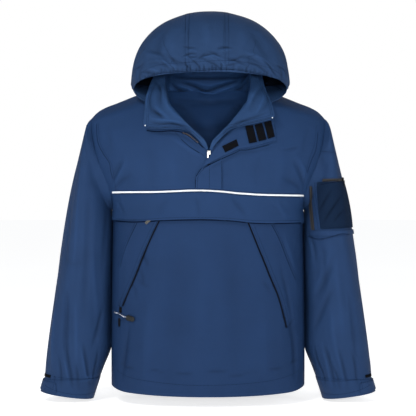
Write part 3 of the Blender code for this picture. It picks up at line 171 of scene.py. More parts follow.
# %% Recipe
class Recipe:
    """A material with one Principled shader, and the node method that all its patterns come from."""

    def __init__(self, name, color, roughness, metallic=0.0, gloss=0.5):
        self.material = bpy.data.materials.new(name)
        self.material.use_nodes = True
        self.tree = self.material.node_tree
        self.shader = self.tree.nodes["Principled BSDF"]
        self.shader.inputs["Base Color"].default_value = (*color, 1.0)
        self.shader.inputs["Roughness"].default_value = roughness
        self.shader.inputs["Metallic"].default_value = metallic
        self.shader.inputs["Specular IOR Level"].default_value = gloss

    def node(self, kind, settings, values, output=0):
        made = self.tree.nodes.new(kind)
        for key, value in settings.items():
            setattr(made, key, value)
        for key, value in values.items():
            if isinstance(value, Term):
                self.tree.links.new(value.socket, made.inputs[key])
            else:
                made.inputs[key].default_value = value
        return Term(self, made.outputs[output])

    def place(self):
        """Object coordinates in metres."""
        return self.node("ShaderNodeTexCoord", {}, {}, "Object")

    def weave(self):
        """How far across and up the cloth, in metres, from the piece's own map."""
        along = self.node("ShaderNodeUVMap", {"uv_map": "weave"}, {})
        across = self.node("ShaderNodeSeparateXYZ", {}, {"Vector": along}, "X")
        return across, Term(self, across.socket.node.outputs["Y"])

    def crease(self):
        """How sharply the cloth is folded here: below 0 in a trough, above 0 on a ridge. Materials use it to
        paint shade into troughs and a highlight onto ridges.
        """
        return self.node("ShaderNodeAttribute", {"attribute_name": "crease"}, {}, "Fac")

    def noise(self, scale, detail=3.0, rough=0.55):
        values = {"Vector": self.place(), "Scale": scale, "Detail": detail, "Roughness": rough}
        return self.node("ShaderNodeTexNoise", {}, values, "Fac")

    def blend(self, factor, low, high):
        """A colour between low and high."""
        values = {"Factor": factor, 6: (*low, 1.0), 7: (*high, 1.0)}
        return self.node("ShaderNodeMix", {"data_type": "RGBA"}, values, 2)

    def color(self, term, low, high):
        """The base colour, between low and high."""
        self.tree.links.new(self.blend(term, low, high).socket, self.shader.inputs["Base Color"])

    def dye(self, term, color, low, high):
        """The base colour, between two shades of one colour."""
        self.color(term, tuple(c * low for c in color), tuple(c * high for c in color))

    def roughness(self, term):
        self.tree.links.new(term.socket, self.shader.inputs["Roughness"])

    def bump(self, height, depth):
        made = self.node("ShaderNodeBump", {}, {"Height": height, "Distance": depth, "Strength": 1.0})
        self.tree.links.new(made.socket, self.shader.inputs["Normal"])


print("recipe", [name for name in vars(Recipe) if name[0] != "_"])

# %% [markdown]
# ## Finishes
# The shell is a dense woven nylon. Up close it has warp and weft threads about half a millimetre apart,
# and from a step away a faint crinkle and a slightly uneven dye. It is not shiny. The map "weave" holds
# metres along the cloth, so that the threads keep their size, and the attribute "crease" says how sharply
# the cloth is folded: with it, troughs get a painted shade and ridges a painted highlight.

# %% Woven shell
THREAD = 0.00055       # metres between two threads
CLOTH_ROUGHNESS = 0.55
CRUMPLE = 1.6          # how much of the bump is the crinkle, threads being 0.12
CLOTH_GLOSS = 0.08
FULL_TURN = 2 * math.pi


def woven(name, color, depth):
    """A plain weave in a dye that varies by a few percent, with painted shade in fold troughs and a painted
    highlight on ridges.
    """
    cloth = Recipe(name, color, CLOTH_ROUGHNESS, gloss=CLOTH_GLOSS)
    across, up = cloth.weave()
    threads = (up * (FULL_TURN / THREAD)).sine() * (across * (FULL_TURN / THREAD)).sine()
    patch = cloth.noise(14.0, 2.0)
    grain = cloth.noise(620.0, 2.0)
    crumple = cloth.noise(55.0, 4.0, 0.62)
    # patch and grain are the dye's own unevenness; the crease term is painted shade in troughs and a painted
    # highlight on ridges
    dye_and_crease_shade = patch * 0.22 + grain * 0.14 + cloth.crease() * 0.34 + 0.32
    cloth.dye(dye_and_crease_shade, color, 0.45, 1.55)
    cloth.roughness(grain * 0.10 + CLOTH_ROUGHNESS)
    cloth.bump(threads * 0.12 + grain * 0.25 + crumple * CRUMPLE, depth)
    return cloth.material


# shell, flap_shell, hood_shell, sleeve_shell and collar_shell are one navy fabric, set a few percent apart
# region by region: painted light and shade
# name: colour, depth of the bump in metres
SHELLS = {
    "shell": ((0.0093, 0.0274, 0.0785), 0.0010),
    # lighter than the shell: painted light on the inner faces, where little light reaches
    "shell_inside_painted_light": ((0.0135, 0.0420, 0.1230), 0.0008),
    "flap_shell": ((0.0106, 0.0309, 0.0870), 0.0009),
    "hood_shell": ((0.0134, 0.0348, 0.0890), 0.0010),
    # far darker than the hood's shell: painted shade on the hood's inner faces and under its brim
    "hood_inside_painted_shade": ((0.0030, 0.0055, 0.0120), 0.0008),
    "sleeve_shell": ((0.0120, 0.0325, 0.0885), 0.0010),
    "collar_shell": ((0.0128, 0.0366, 0.0975), 0.0009),
    # lighter than the collar's shell: painted light on the collar's inner faces
    "collar_inside_painted_light": ((0.0160, 0.0470, 0.1330), 0.0009),
}
look = {name: woven(name, color, depth) for name, (color, depth) in SHELLS.items()}
print("shells", len(SHELLS))

# %% Mesh, tapes, thread and fastening tape
MESH_PITCH = 0.0022    # metres between two holes


def knitted(name, color):
    """A knitted mesh: rows of small round holes, darker than the yarn between them, with painted shade in fold
    troughs and a painted highlight on ridges.
    """
    mesh = Recipe(name, color, 0.90, gloss=0.04)
    across, up = mesh.weave()
    turns = FULL_TURN / MESH_PITCH
    yarn = 1 - ((across * turns).sine() * (up * turns).sine()).above(0.35)
    # the crease term paints shade into the folds' troughs and a highlight onto their ridges
    mesh.dye(yarn * 0.42 + mesh.crease() * 0.55 + 0.30, color, 0.20, 1.45)
    mesh.bump(yarn, 0.0004)
    return mesh.material


def ribbed_tape(name, color, rib, roughness=0.75):
    """A woven tape with fine ribs along the piece's own map."""
    tape = Recipe(name, color, roughness, gloss=CLOTH_GLOSS)
    across, up = tape.weave()
    ribs = ((across + up) * (FULL_TURN / rib)).sine()
    speck = tape.noise(900.0, 2.0)
    tape.dye(speck, color, 0.75, 1.25)
    tape.bump(ribs * 0.5 + speck, 0.0003)
    return tape.material


def loop_tape(name):
    """Loop tape: a dense black fur of tiny loops."""
    tape = Recipe(name, (0.004, 0.0045, 0.006), 0.96, gloss=0.03)
    fur = tape.noise(1400.0, 3.0, 0.7)
    lumps = tape.noise(320.0, 2.0)
    tape.color(fur, (0.0008, 0.0009, 0.0012), (0.0060, 0.0066, 0.0085))
    tape.bump(fur + lumps * 0.6, 0.0007)
    return tape.material


look["mesh"] = knitted("pocket_mesh", (0.0054, 0.0140, 0.0355))
look["zip_tape"] = ribbed_tape("zip_tape", (0.0022, 0.0035, 0.0080), 0.0011)
look["sleeve_tape"] = ribbed_tape("sleeve_zip_tape", (0.034, 0.034, 0.036), 0.0011)
look["reflective"] = ribbed_tape("reflective_piping", (0.80, 0.82, 0.86), 0.0009, 0.42)
look["hook_loop"] = loop_tape("hook_and_loop")
# the thread is far darker than the cloth: a painted shade of the small trough that each stitch pulls
thread_and_stitch_shade = Recipe("sewing_thread_and_stitch_shade", (0.0016, 0.0045, 0.0150), 0.80, gloss=0.02).material
print("materials", len(bpy.data.materials))


# %% Metal and moulded plastic
def plated(name, color, roughness, metallic, gloss=0.5):
    """A cast slider: smooth with faint tumbling marks, a little rougher in patches."""
    metal = Recipe(name, color, roughness, metallic, gloss)
    marks = metal.noise(700.0)
    worn = metal.noise(160.0, 2.0)
    metal.roughness(worn * 0.18 + (roughness - 0.05))
    metal.dye(worn, color, 0.85, 1.0)
    metal.bump(marks, 0.00006)
    return metal.material


zip_metal = plated("zip_metal", (0.50, 0.50, 0.49), 0.32, 1.0)
chest_metal = plated("chest_zip_metal", (0.13, 0.125, 0.11), 0.38, 1.0)
zip_black = plated("zip_black", (0.0012, 0.0013, 0.0018), 0.45, 0.0, 0.10)
coil_dark = plated("zip_coil", (0.0030, 0.0042, 0.0080), 0.60, 0.0, 0.05)
coil_brass = plated("zip_coil_front", (0.25, 0.20, 0.13), 0.40, 0.6)
grip_rubber = plated("pull_grip", (0.0085, 0.0095, 0.0100), 0.52, 0.0, 0.22)
end_stop = plated("zip_end_stop", (0.62, 0.64, 0.66), 0.40, 0.3)


def flecked(name):
    """A braided cord: navy and pale strands that cross at a slant."""
    cord = Recipe(name, (0.05, 0.07, 0.12), 0.80, gloss=0.2)
    settings, values = {"feature": "F1"}, {"Vector": cord.place(), "Scale": 460.0}
    strand = cord.node("ShaderNodeTexVoronoi", settings, values, "Color")
    pale = cord.node("ShaderNodeSeparateColor", {}, {"Color": strand}).above(0.64)
    cord.color(pale, (0.004, 0.009, 0.030), (0.40, 0.43, 0.50))
    cord.bump(1 - cord.node("ShaderNodeTexVoronoi", settings, values, "Distance"), 0.0003)
    return cord.material


flecked_cord = flecked("flecked_cord")
print("materials", len(bpy.data.materials))

# %% [markdown]
# ## Finer cloth from the CAD walls
# Each CAD panel is a closed wall with large facets. A copy is merged, its triangles are joined into quads,
# and its rim is marked as a crease, so that subdividing rounds the cloth and leaves the edge a clean cut.
# Subdivision normally pulls a surface inwards. The control points are pushed back by as much as they
# missed, twice, which makes the smooth surface pass through the CAD's own points.

# %% Copy and crease
RIM_ANGLE = math.radians(58)
COLLAR_RIM_ANGLE = math.radians(75)      # the collar's own roll is sharper than a panel's turn
MERGE_DISTANCE = 0.00001
QUAD_ANGLE = math.radians(50)
QUAD_SHAPE = math.radians(70)
RIM_WIDTH = 0.0021       # no rim is wider than the cloth's wall
SEAM_CLOSE = 0.00016     # metres by which a rim moves out to close its seam
SLEEVE_CLOSE = 0.00040   # the same for the sleeves and cuffs, whose facets leave more
SLEEVE_TUBES = ("sleeve_right", "sleeve_left", "cuff_right", "cuff_left")


def points_of(mesh):
    flat = np.empty(len(mesh.vertices) * 3)
    mesh.vertices.foreach_get("co", flat)
    return flat.reshape(-1, 3)


def set_points(mesh, points):
    mesh.vertices.foreach_set("co", np.asarray(points, float).ravel())
    mesh.update()


def widen_rims(work, crease, reach):
    """Moves the narrow faces round a panel outwards, so that two panels meet at their seam."""
    ways = {}
    for face in work.faces:
        creased = [edge for edge in face.edges if edge[crease] > 0.5]
        if len(creased) >= 2 and min(edge.calc_length() for edge in face.edges) < RIM_WIDTH:
            for vertex in face.verts:
                ways[vertex] = ways.get(vertex, Vector()) + face.normal
    for vertex, way in ways.items():
        vertex.co += way.normalized() * reach


def panel_copy(node, rim_angle):
    """A merged copy of a CAD node's mesh, in quads, with its rim creased."""
    work = bmesh.new()
    work.from_mesh(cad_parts[node].data)
    bmesh.ops.remove_doubles(work, verts=work.verts[:], dist=MERGE_DISTANCE)
    bmesh.ops.join_triangles(
        work, faces=work.faces[:], angle_face_threshold=QUAD_ANGLE, angle_shape_threshold=QUAD_SHAPE,
    )
    crease = work.edges.layers.float.new("crease_edge")
    for edge in work.edges:
        if edge.is_manifold and edge.calc_face_angle(0.0) > rim_angle:
            edge[crease] = 1.0
    widen_rims(work, crease, SLEEVE_CLOSE if node in SLEEVE_TUBES else SEAM_CLOSE)
    return mesh_from(work, node)


print("rims turn by more than", round(math.degrees(RIM_ANGLE)), "degrees")

# %% Subdivide
FAIR_ROUNDS = 2


def evaluated_mesh(holder):
    """The mesh of an object after its modifiers."""
    depsgraph = bpy.context.evaluated_depsgraph_get()
    return bpy.data.meshes.new_from_object(holder.evaluated_get(depsgraph))


def subdivided(mesh, levels):
    """A new mesh from the Subdivision Surface modifier."""
    holder = add_object("holder", mesh)
    smooth = holder.modifiers.new("Subdivision", "SUBSURF")
    smooth.levels = levels
    smooth.render_levels = levels
    smooth.boundary_smooth = "PRESERVE_CORNERS"
    fine = evaluated_mesh(holder)
    bpy.data.objects.remove(holder)
    return fine


def fair(mesh, levels):
    """Subdivides so that the surface still passes through the coarse points."""
    goal = points_of(mesh)
    control = goal.copy()
    for _ in range(FAIR_ROUNDS):
        control += goal - points_of(subdivided(mesh, levels))[:len(goal)]
        set_points(mesh, control)
    return subdivided(mesh, levels)


print("rounds of fairing", FAIR_ROUNDS)

# %% [markdown]
# ## Regions
# Cloth moves out or in along a direction that depends only on the place, not on the face: away from the
# body's axis, from a sleeve's axis, or from the middle of the hood. Whatever lies on a panel uses the same
# directions, so a fold carries the pocket, the piping and the stitches with it.

# %% Directions in which folds move the cloth
BODY_HALF_WIDTH = 0.23
BODY_HALF_DEPTH = 0.13
BODY_FLATNESS = 0.9      # below 1, directions at the body's sides turn more to the front and back
SHOULDER_START = -0.12   # from here up the body's directions turn upwards, over SHOULDER_REACH
SHOULDER_REACH = 0.2
SHOULDER_RISE = 22.0
SLEEVE_AXIS = np.array((
    # z, x, y of the sleeve's middle line
    (-0.72, 0.333, -0.010), (-0.66, 0.324, -0.008), (-0.59, 0.310, -0.004), (-0.49, 0.301, 0.0),
    (-0.36, 0.290, 0.0), (-0.25, 0.280, 0.0), (-0.15, 0.268, 0.0), (-0.05, 0.262, 0.0),
))
HOOD_MIDDLE = np.array((0.0055, 0.01, 0.035))
NECK_STRETCH = np.array((1.0, 1.6, 0.0))    # the neck is wider than it is deep
NECK_LEAN = np.array((0.0, -0.02, 0.02))


def unit(vectors):
    return vectors / np.maximum(np.linalg.norm(vectors, axis=1, keepdims=True), 1e-9)


def away_from_body(points):
    out = np.zeros_like(points)
    out[:, 0] = points[:, 0] / BODY_HALF_WIDTH ** 2 * BODY_FLATNESS
    out[:, 1] = points[:, 1] / BODY_HALF_DEPTH ** 2
    out[:, 2] = np.clip(points[:, 2] - SHOULDER_START, 0.0, SHOULDER_REACH) * SHOULDER_RISE
    return unit(out)


def away_from_sleeve(side):
    heights, across, depth = SLEEVE_AXIS.T

    def away(points):
        out = np.zeros_like(points)
        out[:, 0] = points[:, 0] - side * np.interp(points[:, 2], heights, across)
        out[:, 1] = points[:, 1] - np.interp(points[:, 2], heights, depth)
        return unit(out)
    return away


def away_from_hood(points):
    return unit(points - HOOD_MIDDLE)


def away_from_neck(points):
    return unit(points * NECK_STRETCH + NECK_LEAN)


AWAY = {
    "body": away_from_body,
    "collar": away_from_neck,
    "sleeve_right": away_from_sleeve(-1),
    "sleeve_left": away_from_sleeve(1),
    "hood": away_from_hood,
}
print("regions", *AWAY)

# %% The coarse surfaces that folds are drawn on
REGION_NODES = {
    "body": ("lower_front", "front_yoke_right", "front_yoke_left", "back"),
    "collar": ("collar",),
    "sleeve_right": ("sleeve_right", "cuff_right"),
    "sleeve_left": ("sleeve_left", "cuff_left"),
    "hood": ("hood_right_panel", "hood_gusset", "hood_left_panel"),
}


def tree_from(meshes):
    corners, faces = [], []
    for mesh in meshes:
        start = len(corners)
        corners += [v.co.copy() for v in mesh.vertices]
        faces += [[start + i for i in p.vertices] for p in mesh.polygons]
    return BVHTree.FromPolygons(corners, faces)


coarse = {
    name: tree_from([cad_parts[n].data for n in nodes]) for name, nodes in REGION_NODES.items()
}

# The axis that is looked along, and the side of it that the eye is on. A drawn point's two numbers are the
# other two axes.
EYE_DISTANCE = 2.0
NUDGE = 0.00001          # keeps a ray off the edge that runs down the garment's middle
SEEN = {"front": (1, -1), "back": (1, 1), "left": (0, 1), "right": (0, -1), "top": (2, 1)}


def cast(tree, seen, a, b):
    """The first point of a surface from the front, back, left, right or top, and its normal."""
    axis, sign = SEEN[seen]
    rest = [k for k in range(3) if k != axis]
    start = Vector((0, 0, 0))
    start[axis] = sign * EYE_DISTANCE
    start[rest[0]], start[rest[1]] = a + NUDGE, b
    way = Vector((0, 0, 0))
    way[axis] = -sign
    hit, normal, _, _ = tree.ray_cast(start, way)
    if hit is None:
        return None, None
    if normal.dot(way) > 0:
        normal = -normal
    return hit, normal


print("surfaces", len(coarse))

# %% [markdown]
# ## Folds
# A fold is a line drawn on the cloth with a half width and a depth. A depth above 0 raises the line and
# one below 0 sinks it. A line with a lip is also raised on one side, as where a seam gathers the cloth. It
# fades at both ends. All folds of one region are added up before the cloth moves, so they run into each
# other.

# %% A smooth line through points
SPLINE_STEPS = 12


def spline_point(a, b, c, d, t):
    """A point between b and c of a Catmull-Rom line."""
    cubic = (3 * b - a - 3 * c + d) * t ** 3
    return 0.5 * (2 * b + (c - a) * t + (2 * a - 5 * b + 4 * c - d) * t ** 2 + cubic)


def smooth_line(points, count):
    """Evenly spread points on a smooth line through the given ones."""
    p = [np.asarray(q, float) for q in points]
    p = [2 * p[0] - p[1]] + p + [2 * p[-1] - p[-2]]
    dense = [
        spline_point(*four, t)
        for four in zip(p, p[1:], p[2:], p[3:])
        for t in np.linspace(0, 1, SPLINE_STEPS, endpoint=False)
    ]
    dense = np.array(dense + [p[-2]])
    run = np.concatenate([[0], np.cumsum(np.linalg.norm(np.diff(dense, axis=0), axis=1))])
    at = np.linspace(0, run[-1], count)
    return np.stack([np.interp(at, run, dense[:, k]) for k in range(dense.shape[1])], axis=1)


print("a line of", len(smooth_line(((0, 0), (1, 1), (2, 0)), 9)), "points")

# %% One fold
LIP_HEIGHT = 0.62        # of the fold's own depth
LIP_OFFSET = 1.7         # in half widths, as is the lip's own width
LIP_WIDTH = 1.15
REACH = 3.2              # in half widths, how far from its line a fold moves the cloth
FLATTEN = 0.9            # how much of a step along the region's direction a distance leaves out


class Fold:
    """One crease of a region, as a line in space with a profile across it."""

    def __init__(self, region, seen, lip, half_width, depth, points):
        self.lip, self.half_width, self.depth = lip, half_width, depth
        flat = smooth_line(points, max(6, 3 * len(points))) / 1000
        found = [cast(coarse[region], seen, *q)[0] for q in flat]
        self.line = np.array([f for f in found if f is not None])

    def height(self, points, away):
        """How far the fold moves each point along its direction."""
        out = np.zeros(len(points))
        reach = REACH * self.half_width
        low, high = self.line.min(axis=0) - reach, self.line.max(axis=0) + reach
        near = np.nonzero(np.all((points > low) & (points < high), axis=1))[0]
        if len(near):
            side, along = self.nearest(points[near], away[near])
            out[near] = self.depth * self.profile(side / self.half_width) * self.fade(along)
        return out

    def nearest(self, p, way):
        """How far each point is beside the line, with a sign, and how far along it from 0 to 1."""
        best = np.full(len(p), 1e9)
        side = np.zeros(len(p))
        along = np.zeros(len(p))
        pieces = len(self.line) - 1
        for k in range(pieces):
            a, ab = self.line[k], self.line[k + 1] - self.line[k]
            t = np.clip(((p - a) @ ab) / max(ab @ ab, 1e-12), 0, 1)
            gap = p - (a + t[:, None] * ab)
            gap -= way * np.einsum("ij,ij->i", gap, way)[:, None] * FLATTEN
            d = np.linalg.norm(gap, axis=1)
            closer = d < best
            best[closer] = d[closer]
            side[closer] = np.einsum("ij,ij->i", gap, np.cross(ab, way))[closer]
            along[closer] = ((k + t) / pieces)[closer]
        return np.sign(side) * best, along

    def profile(self, s):
        """The height across the fold, s half widths beside its line."""
        height = np.exp(-s ** 2)
        if self.lip:
            height -= LIP_HEIGHT * np.exp(-((s - LIP_OFFSET) / LIP_WIDTH) ** 2)
        return height

    def fade(self, along):
        """Less than 1 near both ends of the line."""
        return np.clip(np.sin(math.pi * np.clip(along, 0.02, 0.98)), 0, 1) ** 0.55


print("a lip is", LIP_HEIGHT, "of a fold's depth")

# %% All the folds of a region
# how much deeper than drawn a region's folds are
FOLD_STRENGTH = {"body": 1.8, "collar": 2.0, "sleeve_right": 1.6, "sleeve_left": 1.6, "hood": 1.8}
FOLDS = {name: [] for name in AWAY}
CREASE_SHADE_LIMITS = (-1.6, 1.2)   # limits of the attribute crease, which paints shade and highlight


def folds(region, seen, rows, lip=False):
    """Draws folds. Each row is half width, depth, and the points that the line runs through."""
    for half_width, depth, *points in rows:
        depth *= FOLD_STRENGTH[region]
        made = Fold(region, seen, lip, half_width / 1000, depth / 1000, points)
        if len(made.line) < 2:
            print("fold missed its cloth", region, seen, points)
        else:
            FOLDS[region].append(made)


def dress(mesh, region):
    """Moves a mesh along its region's directions by the sum of its folds, and keeps how sharp they are as the
    attribute crease, which paints shade into troughs and highlight onto ridges.
    """
    points = points_of(mesh)
    away = AWAY[region](points)
    height, sharp = np.zeros(len(points)), np.zeros(len(points))
    for line in FOLDS[region]:
        moved = line.height(points, away)
        height += moved
        sharp += moved / line.half_width
    set_points(mesh, points + away * height[:, None])
    crease = mesh.attributes.new("crease", "FLOAT", "POINT")
    crease.data.foreach_set("value", np.clip(sharp, *CREASE_SHADE_LIMITS).astype(np.float32))


print("strengths", FOLD_STRENGTH)

# %% [markdown]
# ### Where the folds lie
# The hood's brim is gathered by a cord in a channel, so it is puckered all along. From the channel short
# creases spread into the panels, most of them beside the two long seams. Each line below is read as: half
# width and depth in millimetres, then the points it runs through, sideways and up, in millimetres. Lines
# with a lip are in tables of their own.

# %% Folds of the hood
HOOD_FOLDS = (
    # beside the long seams
    (1.7, -0.45, (-54, 182), (-54, 148), (-54, 112), (-54, 80)),
    (1.7, -0.45, (-46, 182), (-46, 148), (-46, 112), (-46, 80)),
    (1.7, -0.45, (37, 182), (37, 148), (37, 112), (37, 80)),
    (1.7, -0.45, (45, 182), (45, 148), (45, 112), (45, 80)),
    # across them, between them and towards the brim
    (2.0, -1.2, (-57, 113), (-46, 109), (-30, 108)),
    (2.2, -1.4, (21, 106), (37, 110), (55, 108)),
    (2.0, -1.2, (-41, 84), (-27, 72), (-18, 61)),
    (2.0, -1.2, (-55, 79), (-50, 68), (-41, 58)),
    (2.2, -1.3, (-114, 86), (-103, 74), (-87, 58)),
    (2.2, -1.2, (-96, 97), (-82, 81), (-64, 65)),
    (2.6, 1.2, (-103, 88), (-89, 77), (-73, 61)),
    (2.2, -1.2, (-7, 79), (14, 70), (32, 56)),
    (2.4, 1.1, (5, 86), (25, 74), (41, 65)),
    (2.2, -1.3, (46, 77), (64, 81), (80, 90)),
    (2.2, -1.1, (41, 65), (57, 70), (73, 74)),
    (2.6, -1.1, (123, 84), (142, 68), (155, 47)),
    (3.0, 1.1, (-144, 65), (-128, 61), (-110, 52)),
    (2.4, -1.1, (-153, 56), (-137, 54), (-121, 47)),
    (2.6, 0.8, (-50, 100), (-39, 102), (-25, 101)),
    (2.6, 0.8, (27, 100), (41, 103), (55, 103)),
    (2.6, -1.2, (-21, 84), (-9, 93), (5, 95)),
    (2.4, -1.0, (-34, 77), (-18, 84), (-2, 79)),
    (2.4, -0.9, (9, 79), (25, 74), (37, 63)),
    (3.0, -1.1, (-87, 86), (-69, 77), (-48, 65)),
    (3.4, -1.0, (-133, 74), (-114, 74), (-96, 65)),
    (3.4, -1.4, (89, 77), (112, 70), (137, 52)),
    (5.5, 1.3, (80, 100), (110, 90), (135, 74), (153, 52)),
    (4.5, -1.3, (73, 90), (101, 84), (123, 70)),
    (3.0, -1.1, (123, 81), (144, 65), (160, 42)),
    # wide and shallow ones over the whole hood
    (12, -2.2, (-103, 152), (-117, 116), (-126, 79)),
    (13, -2.4, (103, 152), (123, 116), (142, 79)),
    (10, 1.6, (-7, 175), (-2, 143), (-5, 116)),
    (11, 1.4, (-82, 161), (-87, 129), (-78, 97)),
    (11, 1.4, (73, 161), (80, 129), (69, 97)),
    (7, -1.6, (-155, 74), (-160, 47), (-165, 20)),
    (7, -1.6, (167, 74), (174, 42), (178, 10)),
)
HOOD_LIPS = (
    (2.2, -1.4, (-18, 86), (-5, 90), (11, 93), (23, 90)),
    (2.2, -1.2, (-57, 88), (-41, 94), (-25, 93)),
    (3.0, -1.3, (-50, 93), (-37, 86), (-21, 90)),
    (2.8, -1.2, (-2, 100), (14, 95), (32, 86)),
    (4.2, -1.7, (-142, 106), (-119, 100), (-101, 88), (-85, 74)),
    (3.2, -1.3, (-119, 88), (-98, 81), (-80, 68)),
    (3.2, -1.3, (39, 84), (62, 79), (85, 68)),
)
folds("hood", "front", HOOD_FOLDS)
folds("hood", "front", HOOD_LIPS, lip=True)

PUCKER_HALF_WIDTH = 1.9
BRIM_PUCKERS = (
    # sideways, up at the brim, how far the pucker runs up, its slant, how far it sinks
    (-161, 26, 9, -4, 1.1), (-153, 34, 13, -5, 0.9), (-143, 38, 11, -3, 1.3), (-135, 40, 15, -4, 1.0),
    (-123, 44, 12, -2, 1.2), (-114, 47, 10, -4, 0.8), (-106, 48, 16, -2, 1.3), (-96, 49, 13, -3, 1.0),
    (-86, 49, 10, 0, 0.9), (-79, 50, 15, -2, 1.2), (-69, 50, 12, -1, 1.0), (-57, 51, 9, -2, 0.8),
    (-49, 51, 14, 0, 1.2), (-40, 52, 16, -1, 1.3), (-27, 52, 11, 1, 0.9), (-19, 53, 13, -1, 1.1),
    (-9, 53, 15, 0, 1.2), (2, 54, 10, 1, 0.8), (10, 55, 14, 0, 1.2), (18, 55, 12, -1, 1.0),
    (30, 56, 16, 1, 1.3), (41, 55, 11, 2, 0.9), (49, 55, 9, 0, 0.8), (57, 55, 15, 1, 1.2),
    (70, 54, 13, 3, 1.1), (78, 53, 10, 1, 0.9), (88, 51, 16, 2, 1.3), (98, 49, 12, 3, 1.0),
    (106, 48, 14, 2, 1.2), (117, 46, 10, 4, 0.9), (127, 44, 13, 2, 1.1), (134, 42, 15, 3, 1.3),
    (144, 39, 11, 4, 1.0), (154, 34, 9, 3, 0.9), (162, 30, 12, 5, 1.1), (171, 20, 8, 4, 0.8),
)
for x, z, length, slant, depth in BRIM_PUCKERS:
    line = ((x, z - 3), (x + slant * 0.5, z + length * 0.5), (x + slant, z + length))
    folds("hood", "front", [(PUCKER_HALF_WIDTH, -depth, *line)])
print("hood folds", len(FOLDS["hood"]))

# %% Folds of the hood's sides and back, which hang a little slack below the crown
HOOD_SIDES = {
    "left": (
        (9, -2.0, (-70, 120), (-60, 80), (-40, 45)),
        (8, -2.2, (60, 130), (50, 90), (55, 50)),
        (4, -1.2, (-110, 70), (-90, 66), (-75, 52)),
    ),
    "right": (
        (9, -2.0, (-74, 115), (-62, 78), (-44, 48)),
        (8, -2.2, (66, 126), (56, 86), (58, 52)),
        (4, -1.2, (-108, 76), (-92, 68), (-78, 58)),
    ),
    "back": (
        (9, -2.4, (-70, 150), (-60, 110), (-62, 70)),
        (9, -2.4, (90, 140), (84, 100), (80, 66)),
        (6, -1.6, (-30, 92), (0, 84), (34, 90)),
    ),
}
HOOD_SIDE_LIPS = {
    "left": ((6, -1.8, (-20, 140), (-5, 95), (10, 60)),),
    "right": ((6, -1.8, (-12, 135), (0, 92), (16, 58)),),
    "back": ((8, -2.0, (30, 170), (36, 120), (30, 80)),),
}
for seen in HOOD_SIDES:
    folds("hood", seen, HOOD_SIDES[seen])
    folds("hood", seen, HOOD_SIDE_LIPS[seen], lip=True)
print("hood folds with the sides", len(FOLDS["hood"]))

# %% Folds of the collar
COLLAR_FOLDS = (
    (2.6, -1.4, (-129, -29), (-118, -40), (-104, -52)),
    (3.0, 1.2, (-122, -24), (-106, -38), (-88, -56)),
    (2.6, -1.2, (-120, 36), (-111, 13), (-111, -15)),
    (3.0, -1.3, (-104, 36), (-97, 8), (-90, -19)),
    (2.4, -1.3, (-136, -61), (-111, -65), (-83, -65), (-55, -72)),
    (2.4, 1.0, (-136, -52), (-111, -56), (-83, -59), (-55, -65)),
    (2.8, 1.1, (134, 8), (122, -19), (111, -42)),
    (2.4, -1.2, (138, -38), (111, -49), (83, -59), (60, -70)),
    (3.0, -1.3, (125, 31), (136, 8), (145, -19)),
    (3.2, -1.2, (-134, -29), (-122, -40), (-104, -49)),
    (5.0, -1.3, (-111, 36), (-115, -1), (-104, -38)),
    (5.0, 1.2, (-99, 1), (-88, -29), (-65, -54)),
    (4.0, -1.0, (143, -6), (134, -24), (115, -42)),
    (3.0, -0.9, (-92, -65), (-69, -68), (-42, -77)),
    (3.0, -0.9, (97, -59), (74, -61), (55, -72)),
    # the collar's back, inside; the first trough also paints a dark band of shade under the hood's brim
    (3.0, -2.6, (-94, 56), (-60, 58), (0, 59), (60, 58), (94, 55)),
    (2.6, -2.8, (-71, 50), (-38, 41), (-5, 29), (28, 38), (71, 50)),
    (2.6, 2.2, (-80, 43), (-42, 31), (-5, 19), (33, 29), (80, 43)),
    (2.4, -2.0, (-85, 33), (-52, 24), (-9, 16), (38, 22), (85, 33)),
    (2.4, 1.8, (-57, 55), (-28, 49), (0, 43), (33, 49), (66, 55)),
    (2.2, -1.6, (-90, 43), (-71, 29), (-42, 19)),
    (2.2, -1.6, (94, 43), (76, 29), (47, 19)),
    (2.4, 1.4, (-94, 33), (-80, 22), (-61, 17)),
)
COLLAR_LIPS = (
    (4.0, -1.6, (-129, 22), (-136, -6), (-131, -42)),
    (4.5, -1.4, (127, 27), (111, -1), (97, -33)),
)
folds("collar", "front", COLLAR_FOLDS)
folds("collar", "front", COLLAR_LIPS, lip=True)
print("collar folds", len(FOLDS["collar"]))

# %% [markdown]
# The body hangs almost flat. Its folds are wide and shallow: soft columns from the flap to the hem, a few
# drags from the underarms, and small wrinkles where the hem's stitching shrinks the cloth.

